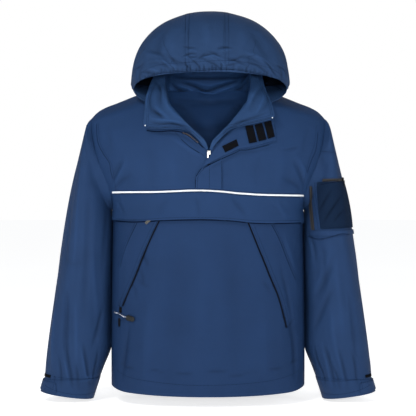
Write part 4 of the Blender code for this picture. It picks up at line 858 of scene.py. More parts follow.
# %% Folds of the body
BODY_FOLDS = (
    # inside the neck, where the troughs also paint the shade inside it
    (13, -5.0, (-80, 0), (-50, -35), (-19, -80), (-2, -108)),
    (13, -5.0, (87, 0), (64, -35), (31, -77), (9, -108)),
    (5, -1.8, (-85, 3), (-42, -2), (17, 0), (83, 5)),
    (4, -1.6, (-90, -2), (-68, -7), (-50, -18)),
    (4, -1.6, (90, -2), (76, -7), (61, -18)),
    (2.2, -0.9, (-94, 9), (-54, 7), (-7, 6), (52, 7), (94, 11)),
    # beside the edges that lie on the front, where the troughs also paint the shadows under those edges
    (3.6, -1.2, (-140, -80), (-122, -86), (-99, -87), (-76, -88), (-53, -96), (-34, -108), (-14, -124)),
    (3.4, 1.0, (-83, -96), (-60, -112), (-32, -131), (-11, -144)),
    (3.2, -0.9, (-5, -171), (14, -163), (32, -154), (55, -143), (73, -133), (96, -131), (124, -125),
     (154, -115)),
    (3.2, -0.45, (-216, -295), (-179, -297), (-133, -295), (-87, -292), (5, -291), (62, -295), (108, -299),
     (165, -299), (211, -299)),
    (15, 3.2, (-19, -38), (2, -42), (24, -38)),
    # from the underarms and the shoulders
    (5, -1.5, (-220, -213), (-204, -197), (-179, -181)),
    (7, -0.8, (-241, -66), (-232, -92), (-224, -128)),
    (5, -1.4, (220, -218), (202, -202), (177, -190)),
    (7, -0.8, (238, -70), (229, -98), (222, -134)),
    (2.6, -0.9, (174, -124), (193, -121), (211, -117)),
    (13, -1.3, (-138, -103), (-129, -160), (-124, -213)),
    (12, 1.2, (-87, -126), (-80, -172), (-80, -213)),
    (12, -1.1, (124, -131), (115, -172), (110, -218)),
    (11, 1.1, (174, -131), (168, -177), (161, -218)),
    # on the chest flap
    (4.5, -1.0, (55, -234), (69, -255), (87, -275)),
    (8, -0.9, (-96, -236), (-108, -259), (-115, -284)),
    (6, 0.9, (154, -239), (168, -261), (181, -284)),
    (4.5, -0.9, (-209, -239), (-200, -259), (-188, -280)),
    (4, -0.8, (-28, -232), (-21, -255), (-23, -280)),
    # below the flap
    (24, 2.2, (-11, -328), (-16, -470), (-21, -636)),
    (22, -2.2, (-64, -323), (-76, -470), (-85, -654)),
    (20, -2.0, (53, -328), (64, -470), (76, -643)),
    (16, 1.6, (124, -470), (133, -562), (133, -663)),
    (15, 1.6, (-138, -470), (-142, -562), (-145, -663)),
    (7, -2.0, (-184, -539), (-193, -590), (-200, -654)),
    (8, -2.2, (191, -521), (202, -581), (204, -654)),
    (5, -1.4, (168, -397), (184, -461), (195, -521)),
    (3.2, -1.2, (-149, -360), (-147, -375), (-138, -393)),
    (3.4, -0.9, (-161, -397), (-152, -416), (-149, -436)),
    (3.4, -0.8, (-177, -430), (-170, -452), (-165, -470)),
    (3.0, -0.9, (-163, -420), (-152, -434), (-135, -441)),
    (3.2, -1.0, (124, -427), (138, -441), (142, -457)),
    (2.6, -1.1, (-211, -470), (-207, -491), (-209, -521)),
    (2.4, -1.0, (-218, -530), (-207, -521), (-191, -521)),
    (2.6, -1.0, (172, -539), (188, -532), (202, -516)),
    (6, 1.2, (-184, -323), (-197, -365), (-209, -406)),
    (7, 1.2, (177, -323), (193, -369), (207, -415)),
    # wrinkles over the hem's stitching
    (2.4, -0.9, (-5, -636), (18, -633), (44, -633)),
    (2.2, -0.8, (83, -638), (101, -635), (117, -636)),
    (2.4, -0.9, (-142, -636), (-122, -633), (-103, -638)),
    (2.2, -0.8, (-73, -638), (-55, -640), (-34, -638)),
    (2.4, -0.9, (138, -633), (158, -631), (179, -627)),
    (2.4, -1.0, (-207, -622), (-188, -629), (-170, -629)),
    (2.2, -0.8, (46, -643), (67, -643), (83, -645)),
    (2.2, -0.8, (188, -622), (202, -617), (214, -617)),
)
BODY_LIPS = (
    # from the underarms
    (6, -1.9, (-225, -197), (-214, -174), (-200, -149)),
    (6, -1.9, (225, -204), (216, -177), (202, -151)),
)
folds("body", "front", BODY_FOLDS)
folds("body", "front", BODY_LIPS, lip=True)

BACK_FOLDS = (
    (24, -2.6, (-95, -240), (-108, -420), (-112, -640)),
    (22, 2.2, (-40, -230), (-46, -420), (-42, -650)),
    (22, -2.4, (24, -250), (30, -430), (26, -640)),
    (20, 2.0, (80, -260), (86, -430), (90, -640)),
    (20, -2.4, (136, -240), (142, -420), (146, -640)),
    (6, -1.6, (-205, -240), (-160, -236), (-110, -246)),
    (6, -1.6, (205, -236), (158, -232), (112, -240)),
    (7, -1.8, (-60, -46), (0, -62), (64, -46)),
    (3, -0.9, (-150, -668), (-128, -670), (-104, -668)),
    (3, -0.9, (-30, -672), (-8, -670), (16, -672)),
    (3, -0.9, (88, -668), (112, -671), (134, -668)),
    (3, -0.9, (160, -664), (178, -664), (196, -660)),
)
BACK_LIPS = (
    (7, -2.2, (-212, -190), (-176, -176), (-130, -160)),
    (7, -2.2, (212, -194), (172, -182), (124, -164)),
)
folds("body", "back", BACK_FOLDS)
folds("body", "back", BACK_LIPS, lip=True)
print("body folds", len(FOLDS["body"]))

# %% [markdown]
# A hanging sleeve twists a little, so its long folds lean, and its end is gathered into a narrower cuff:
# there the folds are short, narrow and deep.

# %% Folds of the sleeves' fronts
RIGHT_SLEEVE_FOLDS = (
    (4, 0.9, (-298, -161), (-306, -240), (-311, -325), (-318, -409)),
    (8, -1.4, (-322, -240), (-330, -325), (-338, -409)),
    (9, -2.4, (-277, -205), (-281, -311), (-286, -416), (-291, -526)),
    (6, -2.4, (-331, -451), (-333, -533), (-338, -620)),
    (6, 1.8, (-312, -470), (-309, -557), (-307, -630)),
    (6, 1.8, (-361, -489), (-366, -564), (-368, -630)),
    (3.6, -1.8, (-260, -597), (-263, -625), (-270, -655), (-273, -681)),
    (3, -1.5, (-352, -606), (-347, -630), (-345, -655), (-344, -681)),
    (2.6, -1.2, (-309, -625), (-307, -641), (-305, -658), (-303, -684)),
    (5, -2.0, (-248, -498), (-258, -540), (-270, -583)),
    (9, -1.3, (-237, -250), (-243, -330), (-248, -430)),
    (6, -1.2, (-342, -372), (-319, -390), (-288, -386)),
    (7, 1.3, (-270, -358), (-265, -451), (-260, -522)),
    (7, -1.3, (-291, -88), (-286, -123), (-291, -170)),
)
RIGHT_SLEEVE_LIPS = (
    (4, -2.2, (-333, -580), (-328, -620), (-321, -655), (-318, -681)),
    (4, -2.2, (-291, -580), (-286, -615), (-281, -653), (-279, -679)),
)
LEFT_SLEEVE_FOLDS = (
    (7, -1.8, (267, -346), (272, -390), (272, -447)),
    (10, 2.0, (295, -353), (307, -456), (321, -569)),
    (6, -2.0, (333, -465), (342, -545), (349, -620)),
    (6, -1.8, (288, -451), (267, -501), (248, -548)),
    (3.6, -1.8, (251, -592), (260, -625), (272, -655), (277, -681)),
    (3, -1.5, (338, -597), (345, -625), (349, -655), (351, -681)),
    (2.6, -1.2, (293, -630), (300, -646), (305, -660), (310, -686)),
    (6, 1.6, (286, -503), (295, -569), (307, -620)),
    (7, -1.3, (265, -81), (267, -123), (267, -170)),
    (3, -0.9, (248, -123), (272, -126), (298, -128)),
    (3, -1.2, (270, -292), (291, -259), (314, -224)),
    (3, -1.0, (260, -269), (274, -240), (288, -217)),
    (2.6, -0.9, (293, -292), (307, -273), (323, -259)),
)
LEFT_SLEEVE_LIPS = (
    (7, -1.9, (298, -367), (279, -414), (253, -468)),
    (4, -2.1, (272, -583), (284, -618), (293, -658), (296, -684)),
    (3.6, -1.8, (307, -592), (316, -627), (323, -658), (326, -684)),
    (5, -1.6, (237, -315), (248, -348), (253, -386)),
)
folds("sleeve_right", "front", RIGHT_SLEEVE_FOLDS)
folds("sleeve_right", "front", RIGHT_SLEEVE_LIPS, lip=True)
folds("sleeve_left", "front", LEFT_SLEEVE_FOLDS)
folds("sleeve_left", "front", LEFT_SLEEVE_LIPS, lip=True)
print("sleeve folds", len(FOLDS["sleeve_right"]), len(FOLDS["sleeve_left"]))

# %% Folds of the sleeves' backs and outer sides
REAR_FOLDS = (
    # sideways is measured away from the body
    (9, -2.4, (272, -190), (282, -300), (300, -420)),
    (9, 2.2, (300, -170), (312, -300), (324, -440)),
    (8, -2.2, (330, -400), (340, -500), (348, -620)),
    (7, -2.2, (276, -470), (284, -560), (296, -640)),
    (3.4, -1.6, (328, -620), (330, -644), (330, -664)),
)
REAR_LIPS = (
    (6, -2.2, (252, -330), (284, -350), (322, -340)),
    (4, -2.0, (300, -600), (306, -632), (312, -662)),
    (4, -2.0, (350, -606), (350, -636), (352, -662)),
    (6, -2.0, (244, -250), (262, -236), (280, -205)),
)
OUTER_FOLDS = (
    # sideways is towards the back
    (9, 2.0, (-6, -150), (-4, -280), (-12, -400)),
    (8, -2.0, (26, -240), (20, -360), (24, -470)),
    (6, -1.8, (-30, -430), (-26, -540), (-22, -640)),
    (3.4, -1.6, (-22, -616), (-20, -640), (-18, -662)),
)
OUTER_LIPS = ((4, -2.0, (10, -600), (6, -634), (4, -662)),)
RIGHT_SLEEVE_DROP = -6       # so that the two sleeves aren't mirror images
LEFT_SLEEVE_DROP = -12


def shifted(rows, side, rise):
    """The same folds, mirrored where side is -1 and raised by rise millimetres."""
    return [
        (half_width, depth, *((side * x, z + rise) for x, z in line)) for half_width, depth, *line in rows
    ]


for rows, outer, lip in ((REAR_FOLDS, OUTER_FOLDS, False), (REAR_LIPS, OUTER_LIPS, True)):
    folds("sleeve_right", "back", shifted(rows, -1, RIGHT_SLEEVE_DROP), lip)
    folds("sleeve_left", "back", shifted(rows, 1, 0), lip)
    folds("sleeve_right", "right", shifted(outer, 1, 0), lip)
    folds("sleeve_left", "left", shifted(outer, 1, LEFT_SLEEVE_DROP), lip)
print("sleeve folds with the backs", len(FOLDS["sleeve_right"]), len(FOLDS["sleeve_left"]))

# %% [markdown]
# ## Cloth pieces
# Every piece of cloth stands for its CAD wall. The map "weave" is measured round the piece's own axis in
# metres, so that the threads don't stretch where a panel turns to the side.

# %% Weave map and the cloth helper
SMOOTH_ANGLE = math.radians(42)
INNER_FACE = -0.25       # a face that looks in by more than this gets the second material: painted light inside the body, sleeves and collar, painted shade inside the hood
MAPS = {
    # region: middle (x, y), radius
    "body": ((0.0, 0.0), 0.187),
    "collar": ((0.0, 0.0), 0.110),
    "sleeve_right": ((-0.300, 0.0), 0.070),
    "sleeve_left": ((0.300, 0.0), 0.070),
    "hood": ((0.0055, 0.0), 0.165),
}


def weave_map(mesh, region, facing):
    """Metres along the cloth: round a vertical axis and up."""
    middle, radius = MAPS[region]
    layer = mesh.uv_layers.new(name="weave")
    points = points_of(mesh)
    turn = np.arctan2(points[:, 0] - middle[0], facing * (points[:, 1] - middle[1]))
    for polygon in mesh.polygons:
        first = turn[polygon.vertices[0]]
        for loop in polygon.loop_indices:
            vertex = mesh.loops[loop].vertex_index
            angle = turn[vertex]
            if angle - first > math.pi:
                angle -= FULL_TURN
            elif first - angle > math.pi:
                angle += FULL_TURN
            layer.data[loop].uv = (angle * radius, points[vertex, 2])


def finish_piece(name, mesh, materials, node=None, body="root"):
    """Links a mesh as a piece, with smooth faces and sharp rims, riding on a body."""
    mesh.name = name
    mesh.materials.clear()
    for material in materials:
        mesh.materials.append(material)
    mesh.shade_smooth()
    mesh.set_sharp_from_angle(angle=SMOOTH_ANGLE)
    piece = add_object(name, mesh)
    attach(piece, body)
    if node:
        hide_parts(node)
    return piece


def two_faced(mesh, region):
    """Gives the faces that look towards the region's middle the second material: lighter inside the body,
    sleeves and collar as painted light, darker inside the hood as painted shade.
    """
    centres = np.array([p.center for p in mesh.polygons])
    normals = np.array([p.normal for p in mesh.polygons])
    facing = np.einsum("ij,ij->i", AWAY[region](centres), normals)
    mesh.polygons.foreach_set("material_index", (facing < INNER_FACE).astype(np.int32))


garment = {}


def cloth_piece(node, region, levels, cloth_looks, facing=-1, rim_angle=RIM_ANGLE):
    """Makes a finished piece of cloth that replaces its CAD wall, and keeps it in garment."""
    mesh = fair(panel_copy(node, rim_angle), levels)
    dress(mesh, region)
    weave_map(mesh, region, facing)
    piece = finish_piece(f"{node}_cloth", mesh, [look[dye] for dye in cloth_looks], node)
    if len(cloth_looks) > 1:
        two_faced(mesh, region)
    garment[node] = piece


print("maps", len(MAPS))

# %% Body, sleeves, cuffs and hood
BODY_SHELL_AND_PAINTED_LIGHT = ("shell", "shell_inside_painted_light")
YOKE_SHELL_AND_PAINTED_LIGHT = ("flap_shell", "shell_inside_painted_light")
SLEEVE_SHELL_AND_PAINTED_LIGHT = ("sleeve_shell", "shell_inside_painted_light")
HOOD_SHELL_AND_PAINTED_SHADE = ("hood_shell", "hood_inside_painted_shade")
PANELS = (
    # node, region, levels, cloth looks: outside, then inside with painted light (painted shade in the hood)
    ("lower_front", "body", 3, BODY_SHELL_AND_PAINTED_LIGHT),
    ("front_yoke_right", "body", 3, YOKE_SHELL_AND_PAINTED_LIGHT),
    ("front_yoke_left", "body", 3, YOKE_SHELL_AND_PAINTED_LIGHT),
    ("back", "body", 2, BODY_SHELL_AND_PAINTED_LIGHT),
    ("sleeve_right", "sleeve_right", 3, SLEEVE_SHELL_AND_PAINTED_LIGHT),
    ("sleeve_left", "sleeve_left", 3, SLEEVE_SHELL_AND_PAINTED_LIGHT),
    ("cuff_right", "sleeve_right", 2, SLEEVE_SHELL_AND_PAINTED_LIGHT),
    ("cuff_left", "sleeve_left", 2, SLEEVE_SHELL_AND_PAINTED_LIGHT),
    ("hood_right_panel", "hood", 4, HOOD_SHELL_AND_PAINTED_SHADE),
    ("hood_gusset", "hood", 4, HOOD_SHELL_AND_PAINTED_SHADE),
    ("hood_left_panel", "hood", 4, HOOD_SHELL_AND_PAINTED_SHADE),
)
for node, region, levels, cloth_looks in PANELS:
    cloth_piece(node, region, levels, cloth_looks, facing=1 if node == "back" else -1)
print("panels", {n: len(p.data.polygons) for n, p in garment.items()})

# %% Flaps, welts, straps and pocket
OVERLAYS = (
    # node, region, levels, dye
    ("chest_flap", "body", 3, "flap_shell"),
    ("storm_flap", "body", 3, "flap_shell"),
    ("storm_flap_turned", "body", 3, "flap_shell"),
    ("hand_welt_right", "body", 2, "shell"),
    ("hand_welt_left", "body", 2, "shell"),
    ("cuff_tab_right", "sleeve_right", 2, "sleeve_shell"),
    ("cuff_tab_left", "sleeve_left", 2, "sleeve_shell"),
    ("sleeve_pocket_band", "sleeve_left", 2, "sleeve_shell"),
)
for node, region, levels, dye in OVERLAYS:
    cloth_piece(node, region, levels, (dye,))
cloth_piece("sleeve_pocket_mesh", "sleeve_left", 3, ("mesh",))
cloth_piece("collar", "collar", 3, ("collar_shell", "collar_inside_painted_light"), rim_angle=COLLAR_RIM_ANGLE)
print("with overlays", len(garment))

# %% Tapes, piping and patches
TRIMS = (
    # node, region, levels, dye, slot
    ("piping", "body", 2, "reflective", "reflective"),
    ("loop_patch_low", "body", 3, "hook_loop", "hook_loop"),
    ("loop_patch_1", "body", 3, "hook_loop", "hook_loop"),
    ("loop_patch_2", "body", 3, "hook_loop", "hook_loop"),
    ("loop_patch_3", "body", 3, "hook_loop", "hook_loop"),
    ("cuff_hook_right", "sleeve_right", 2, "hook_loop", "hook_loop"),
    ("cuff_hook_left", "sleeve_left", 2, "hook_loop", "hook_loop"),
    ("front_zip", "body", 2, "zip_tape", "zip_tape"),
    ("hand_zip_right", "body", 2, "zip_tape", "zip_tape"),
    ("hand_zip_left", "body", 2, "zip_tape", "zip_tape"),
    ("chest_zip", "body", 2, "zip_tape", "zip_tape"),
    ("sleeve_pocket_side_zip", "sleeve_left", 2, "sleeve_tape", "zip_tape"),
    ("sleeve_pocket_top_zip", "sleeve_left", 2, "sleeve_tape", "zip_tape"),
)
for node, region, levels, dye, slot in TRIMS:
    cloth_piece(node, region, levels, (dye,))
print("with trims", len(garment))

# %% [markdown]
# ## Sewing
# A topstitch is a row of short raised stretches of thread, each about two and a half millimetres long.
# One small pointed bead stands for a stretch, and rows of it are laid along lines drawn on the finished
# cloth. A row is read off the cloth's own surface, so it follows every fold. The thread is far darker than
# the cloth, a painted shade of the small trough each stitch pulls. Along some edges the stretches are
# longer and wider, and these dark rows paint the shadow lines under edges such as the chest flap, the
# collar's leaves and the brim, and in the armholes.

# %% Lines on the finished cloth
def finished_tree(*nodes):
    return tree_from([garment[n].data for n in nodes])


cloth_face = {
    "body": finished_tree(
        "lower_front", "front_yoke_right", "front_yoke_left", "back", "chest_flap", "storm_flap",
        "storm_flap_turned", "hand_welt_right", "hand_welt_left", "loop_patch_low", "loop_patch_1",
        "loop_patch_2", "loop_patch_3",
    ),
    "collar": finished_tree("collar"),
    "hood": finished_tree("hood_right_panel", "hood_gusset", "hood_left_panel"),
    "sleeve_right": finished_tree("sleeve_right", "cuff_right", "cuff_tab_right"),
    "sleeve_left": finished_tree(
        "sleeve_left", "cuff_left", "cuff_tab_left", "sleeve_pocket_band", "sleeve_pocket_mesh",
    ),
    "tapes": finished_tree("hand_zip_right", "hand_zip_left", "chest_zip", "front_zip"),
    "sleeve_tapes": finished_tree("sleeve_pocket_side_zip", "sleeve_pocket_top_zip"),
}
ROUGH_POINTS = 40        # enough to measure how long a line is
LINE_STEP = 0.0015       # metres between two places where a line is read off the cloth
LONGEST_STEP = 0.008     # a longer step jumps from one piece of cloth to another


def beside(points, gap):
    """A drawn line moved to its left by gap millimetres."""
    line = smooth_line(points, 4 * len(points))
    ways = unit(np.gradient(line, axis=0))
    return line + gap * np.stack([-ways[:, 1], ways[:, 0]], axis=1)


def places_along(region, seen, points, pitch, lift):
    """Even steps of pitch along a drawn line on the cloth: place, way out and way along. All in metres."""
    rough = smooth_line(points, ROUGH_POINTS) / 1000
    length = np.linalg.norm(np.diff(rough, axis=0), axis=1).sum()
    flat = smooth_line(points, max(8, int(length / LINE_STEP))) / 1000
    found = [cast(cloth_face[region], seen, *q) for q in flat]
    found = [(hit + normal * lift, normal) for hit, normal in found if hit is not None]
    places, rest = [], pitch * 0.5
    for (a, out_a), (b, out_b) in zip(found, found[1:]):
        step = (b - a).length
        if step > LONGEST_STEP or step < 1e-7:
            continue
        while rest < step:
            t = rest / step
            places.append((a.lerp(b, t), out_a.lerp(out_b, t).normalized(), (b - a) / step))
            rest += pitch
        rest -= step
    return places


print("faces to sew on", len(cloth_face))


# %% Beads along lines
def bead(name, length, width, height):
    """A small pointed bead, measured along, across and out."""
    work = bmesh.new()
    bmesh.ops.create_icosphere(work, subdivisions=1, radius=0.5)
    bmesh.ops.scale(work, verts=work.verts[:], vec=(length, width, height))
    return mesh_from(work, name)


def stamp(work, mesh, place, out, along):
    """Adds a copy of a small mesh at place, with its X along the line and its Z out of the cloth."""
    side = out.cross(along).normalized()
    turn = Matrix((along, side, along.cross(side))).transposed().to_4x4()
    copy = mesh.copy()
    copy.transform(Matrix.Translation(place) @ turn)
    work.from_mesh(copy)
    bpy.data.meshes.remove(copy)


def drawn(region, seen, *lines):
    """Rows for beads, all drawn on one region from one side."""
    return [(region, seen, line) for line in lines]


def beads_along(name, mesh, material, rows, pitch, lift):
    """One piece from many rows of a bead."""
    work = bmesh.new()
    count = 0
    for row in rows:
        for place, out, along in places_along(*row, pitch, lift):
            stamp(work, mesh, place, out, along)
            count += 1
    finish_piece(name, mesh_from(work, name), (material,))
    print(name, count)


STITCH_PITCH = 0.0032
STITCH_LIFT = 0.00008
EDGE_PITCH = 0.0034
stitch = bead("stitch", 0.0026, 0.00105, 0.00060)
edge_stitch = bead("edge_stitch", 0.0042, 0.00190, 0.00080)


def sew(name, rows):
    beads_along(name, stitch, thread_and_stitch_shade, rows, STITCH_PITCH, STITCH_LIFT)


# %% Seams and edges of the body that are sewn
# every line runs through points sideways and up, in millimetres
PIPING_LINE = (
    (-217.0, -222.5), (-133.0, -222.5), (-87.0, -221.3), (-34.0, -219.1), (-18.0, -219.0), (28.0, -221.3),
    (74.0, -225.9), (142.0, -229.3), (217.0, -230.1),
)
HEM_LINE = (
    (-213.5, -639.2), (-202.0, -646.1), (-179.1, -653.0), (-133.2, -658.7), (-64.3, -664.4), (-6.9, -665.6),
    (73.5, -663.3), (142.4, -657.6), (188.3, -649.5), (213.5, -640.3),
)
FLAP_HEM = (
    (-215.8, -284.5), (-179.1, -286.3), (-133.2, -284.5), (-87.2, -281.7), (0.0, -280.8), (50.5, -283.1),
    (96.4, -287.2), (142.4, -289.0), (215.8, -288.1),
)
WELT_RIGHT = ((-114.8, -293.6), (-144.6, -355.6), (-167.6, -413.0), (-190.6, -465.8), (-198.6, -488.8))
WELT_RIGHT_OUTER = ((-164.2, -293.6), (-183.7, -332.7), (-197.5, -367.1), (-205.5, -397.0))
WELT_LEFT = ((98.7, -305.1), (124.0, -367.1), (142.4, -413.0), (165.3, -470.4), (181.4, -534.7))
WELT_LEFT_OUTER = ((146.9, -298.2), (165.3, -332.7), (188.3, -390.1), (204.3, -426.8))
TURNED_EDGE = (
    (-9.2, -167.4), (6.9, -158.2), (29.8, -146.0), (52.8, -135.7), (75.8, -125.6), (91.8, -123.7),
    (114.8, -117.8), (137.8, -111.8), (153.8, -106.3),
)
PATCHES = (
    ((34.4, -120.1), (62.9, -105.8), (66.6, -115.9), (40.4, -131.1)),
    ((87.7, -74.6), (101.9, -72.3), (109.7, -106.3), (95.5, -110.0)),
    ((110.2, -72.3), (122.6, -66.8), (132.2, -99.9), (114.3, -104.9)),
    ((130.9, -63.1), (145.6, -59.0), (153.4, -92.5), (138.2, -98.9)),
)
BACK_HEM = ((-225, -664), (-110, -671), (0, -674), (110, -671), (225, -664))
BACK_ARMHOLE = ((238, -206), (252, -168), (264, -132), (270, -96), (271, -66))
print("patches", len(PATCHES))

# %% Stitches of the body
BODY_ROWS = drawn(
    "body", "front",
    beside(PIPING_LINE, 4.6),
    beside(PIPING_LINE, -4.6),
    HEM_LINE,
    FLAP_HEM,
    beside(WELT_RIGHT, -3.2),
    beside(WELT_RIGHT, -9.0),
    beside(WELT_RIGHT_OUTER, -4.4),
    beside(WELT_LEFT, 3.2),
    beside(WELT_LEFT, 9.0),
    beside(WELT_LEFT_OUTER, 4.4),
    beside(TURNED_EDGE, 3.0),
    ((158.4, -100.8), (157.5, -80.1), (153.8, -61.7)),
    ((-24.3, -213.3), (-23.4, -190.3), (-17.4, -177.5), (-10.1, -170.6)),
    ((3.4, -162.8), (3.2, -188.0), (3.2, -214.7)),
    ((30.8, -151.3), (30.8, -183.4), (30.8, -215.6)),
    # the placket beside the open zip on the right half
    ((-75.8, -84.7), (-62.0, -99.4), (-41.3, -119.1), (-19.5, -132.0), (-8.0, -141.0)),
    # the shoulder and the armholes
    (
        (-259.4, -59.4), (-257.2, -89.3), (-252.6, -108.8), (-245.7, -122.6), (-238.8, -134.1),
        (-231.9, -144.4), (-225.0, -157.0), (-220.9, -176.5), (-218.1, -194.9), (-214.4, -217.9),
    ),
    (
        (256.0, -61.7), (253.0, -89.3), (249.1, -112.3), (242.0, -130.6), (235.6, -149.0), (230.5, -167.4),
        (226.4, -190.3), (219.5, -217.9),
    ),
)
# round each patch
for corners in PATCHES:
    BODY_ROWS += drawn("body", "front", *zip(corners, corners[1:] + corners[:1]))
for gap in (-2.2, 2.2):
    BODY_ROWS += drawn("body", "back", [(x, z + gap) for x, z in BACK_HEM])
for side in (-1, 1):
    BODY_ROWS += drawn("body", "back", [(side * x, z) for x, z in BACK_ARMHOLE])
sew("stitches_body", BODY_ROWS)

# %% Stitches of the hood
HOOD_SEAMS = (
    ((-48.0, 184.1), (-48.4, 147.5), (-48.2, 106.4), (-47.5, 65.3)),
    ((43.4, 183.2), (43.9, 147.5), (43.6, 106.4), (43.0, 65.3)),
)
BRIM_LINE = (
    (-162.2, 27.3), (-148.5, 37.9), (-132.5, 45.6), (-109.7, 52.7), (-64.0, 55.4), (-18.3, 57.7), (27.4, 60.7),
    (73.1, 58.4), (96.0, 54.3), (118.8, 50.6), (141.7, 44.7), (164.5, 33.3), (173.7, 24.1),
)
HOOD_ROWS = drawn("hood", "front", beside(BRIM_LINE, 0.0), beside(BRIM_LINE[1:-1], 17.0))
for seam in HOOD_SEAMS:
    for gap in (-4.2, 4.2):
        x = seam[0][0] + gap
        HOOD_ROWS += drawn("hood", "front", beside(seam, gap))
        HOOD_ROWS += drawn("hood", "top", [(x, y) for y in (-118, -60, 0, 60, 110)])
        HOOD_ROWS += drawn("hood", "back", [(x, z) for z in (170, 130, 90, 56)])
for seen in ("left", "right"):
    HOOD_ROWS += drawn("hood", seen, ((-143, 52), (-138, 76), (-127, 104), (-110, 128)))
sew("stitches_hood", HOOD_ROWS)

# %% Stitches of the collar
LEAF_RIGHT_EDGE = (
    (-117.6, 45.2), (-132.8, 25.8), (-142.0, 1.4), (-144.4, -21.7), (-144.4, -47.0), (-145.7, -66.9),
)
LEAF_RIGHT_ZIP = (
    (-143.0, -71.0), (-132.8, -74.7), (-110.7, -76.1), (-87.6, -73.8), (-66.9, -75.6), (-49.3, -80.3),
    (-37.4, -87.2), (-19.4, -103.3), (-4.6, -119.5),
)
LEAF_LEFT_EDGE = ((116.7, 42.9), (124.5, 33.7), (132.8, 16.1), (141.6, -4.2), (148.5, -22.6), (152.7, -44.7))
LEAF_LEFT_ZIP = (
    (146.7, -51.7), (131.4, -56.3), (108.4, -61.8), (85.3, -67.8), (62.3, -73.8), (47.0, -78.4), (33.2, -92.2),
    (17.5, -107.9), (6.9, -119.9),
)
COLLAR_ROWS = []
for gap in (3.4, 7.4):
    COLLAR_ROWS += drawn(
        "collar", "front",
        beside(LEAF_RIGHT_EDGE, gap), beside(LEAF_RIGHT_ZIP[:-1], gap),
        beside(LEAF_LEFT_EDGE, -gap), beside(LEAF_LEFT_ZIP[:-1], -gap),
    )
sew("stitches_collar", COLLAR_ROWS)

# %% Stitches of the sleeves
LEFT_SLEEVE_ROWS = drawn(
    "sleeve_left", "front",
    ((259.0, -125.1), (278.9, -126.5), (295.3, -128.9)),
    ((252.2, -664.7), (286.0, -666.1), (321.1, -664.7), (351.6, -661.4)),
    ((260.2, -695.2), (286.0, -698.5), (321.1, -695.2), (356.3, -686.7), (382.1, -676.4)),
    ((239.1, -329.5), (257.8, -334.2), (281.3, -330.9), (309.4, -322.5), (330.5, -323.4)),
    ((249.9, -198.3), (256.4, -252.2), (263.5, -306.1)),
    ((244.2, -202.9), (250.8, -254.5), (258.3, -308.4)),
    ((266.3, -309.8), (286.0, -305.6), (309.4, -303.3), (332.8, -302.3)),
    ((358.6, -661.4), (361.0, -671.7), (363.3, -685.8)),
) + drawn("sleeve_left", "left", ((-40, -646), (-10, -650), (20, -652), (44, -648)))
RIGHT_SLEEVE_ROWS = drawn(
    "sleeve_right", "front",
    ((-255.5, -659.1), (-288.3, -661.4), (-323.5, -659.6), (-353.9, -656.7)),
    ((-264.9, -696.6), (-295.3, -698.9), (-323.5, -696.1), (-356.3, -688.6), (-385.8, -677.8)),
    ((-360.0, -657.7), (-361.9, -669.4), (-364.3, -683.5)),
) + drawn("sleeve_right", "right", ((-40, -648), (-10, -652), (20, -654), (44, -650)))
REAR_ROWS = (
    ((266, -668), (300, -672), (340, -674), (380, -674)),
    ((274, -702), (310, -704), (350, -700), (386, -694)),
)
for side, region, rows in ((-1, "sleeve_right", RIGHT_SLEEVE_ROWS), (1, "sleeve_left", LEFT_SLEEVE_ROWS)):
    rows += drawn(region, "back", *([(side * x, z) for x, z in row] for row in REAR_ROWS))
    sew(f"stitches_{region}", rows)

# %% Wide dark stitches along edges, which also paint the shadow lines under them
LEAF_SHADOW_LINE = (
    (-142.4, -80.1), (-128.6, -82.4), (-110.2, -83.3), (-87.2, -81.9), (-64.3, -84.7), (-45.9, -91.6),
    (-29.8, -103.1), (-11.5, -121.4),
)
FLAP_EDGE_AND_SHADOW_LINE = (
    (-218.1, -289.0), (-179.1, -291.3), (-144.6, -290.2), (-98.7, -287.2), (-41.3, -286.1), (4.6, -286.1),
    (50.5, -288.1), (96.4, -292.7), (142.4, -294.6), (218.1, -293.6),
)
EDGE_STITCH_AND_SHADOW_ROWS = drawn(
    "body", "front",
    # below the chest flap: its edge stitch, and a painted shadow line under it
    FLAP_EDGE_AND_SHADOW_LINE,
    beside(FLAP_EDGE_AND_SHADOW_LINE, -1.2),
    # below the collar's leaves and beside the placket: painted shadow lines
    LEAF_SHADOW_LINE,
    beside(LEAF_SHADOW_LINE, 1.3),
    ((-62.0, -100.8), (-41.3, -119.1), (-18.4, -134.1)),
    # the storm flap
    ((-28.7, -215.6), (-27.6, -190.3), (-20.7, -176.5), (-13.8, -167.4)),
    (
        (-11.5, -169.0), (4.6, -160.0), (27.6, -148.5), (50.5, -138.0), (66.6, -130.6), (73.5, -126.5),
        (89.5, -126.0), (114.8, -120.5), (142.4, -112.7),
    ),
    # the armholes: painted shadow lines along their seams
    (
        (-264.0, -59.4), (-261.7, -91.6), (-257.2, -110.0), (-250.3, -123.7), (-243.4, -135.2),
        (-236.5, -144.4), (-229.6, -155.9), (-227.3, -172.0), (-222.7, -190.3),
    ),
    ((259.4, -80.1), (254.9, -114.6), (250.3, -130.6), (243.4, -144.4), (236.5, -162.8), (231.9, -176.5)),
    # the welts' far edges, and a bar tack on the right cuff
    WELT_RIGHT_OUTER,
    WELT_LEFT_OUTER,
)
CUFF_TACK = ((-363.3, -656.0), (-356.3, -657.2))
SHOULDER_TACK = ((-5.0, -99.0), (0.0, -97.5), (5.0, -99.0))
TEETH_TAPES = (
    # the tape on both sides of the open zip's teeth
    ((-60.8, -88.1), (-50.5, -90.4), (-37.9, -99.6), (-24.1, -112.3)),
    ((-55.1, -83.6), (-43.6, -87.7), (-32.1, -96.2), (-20.7, -106.5)),
)
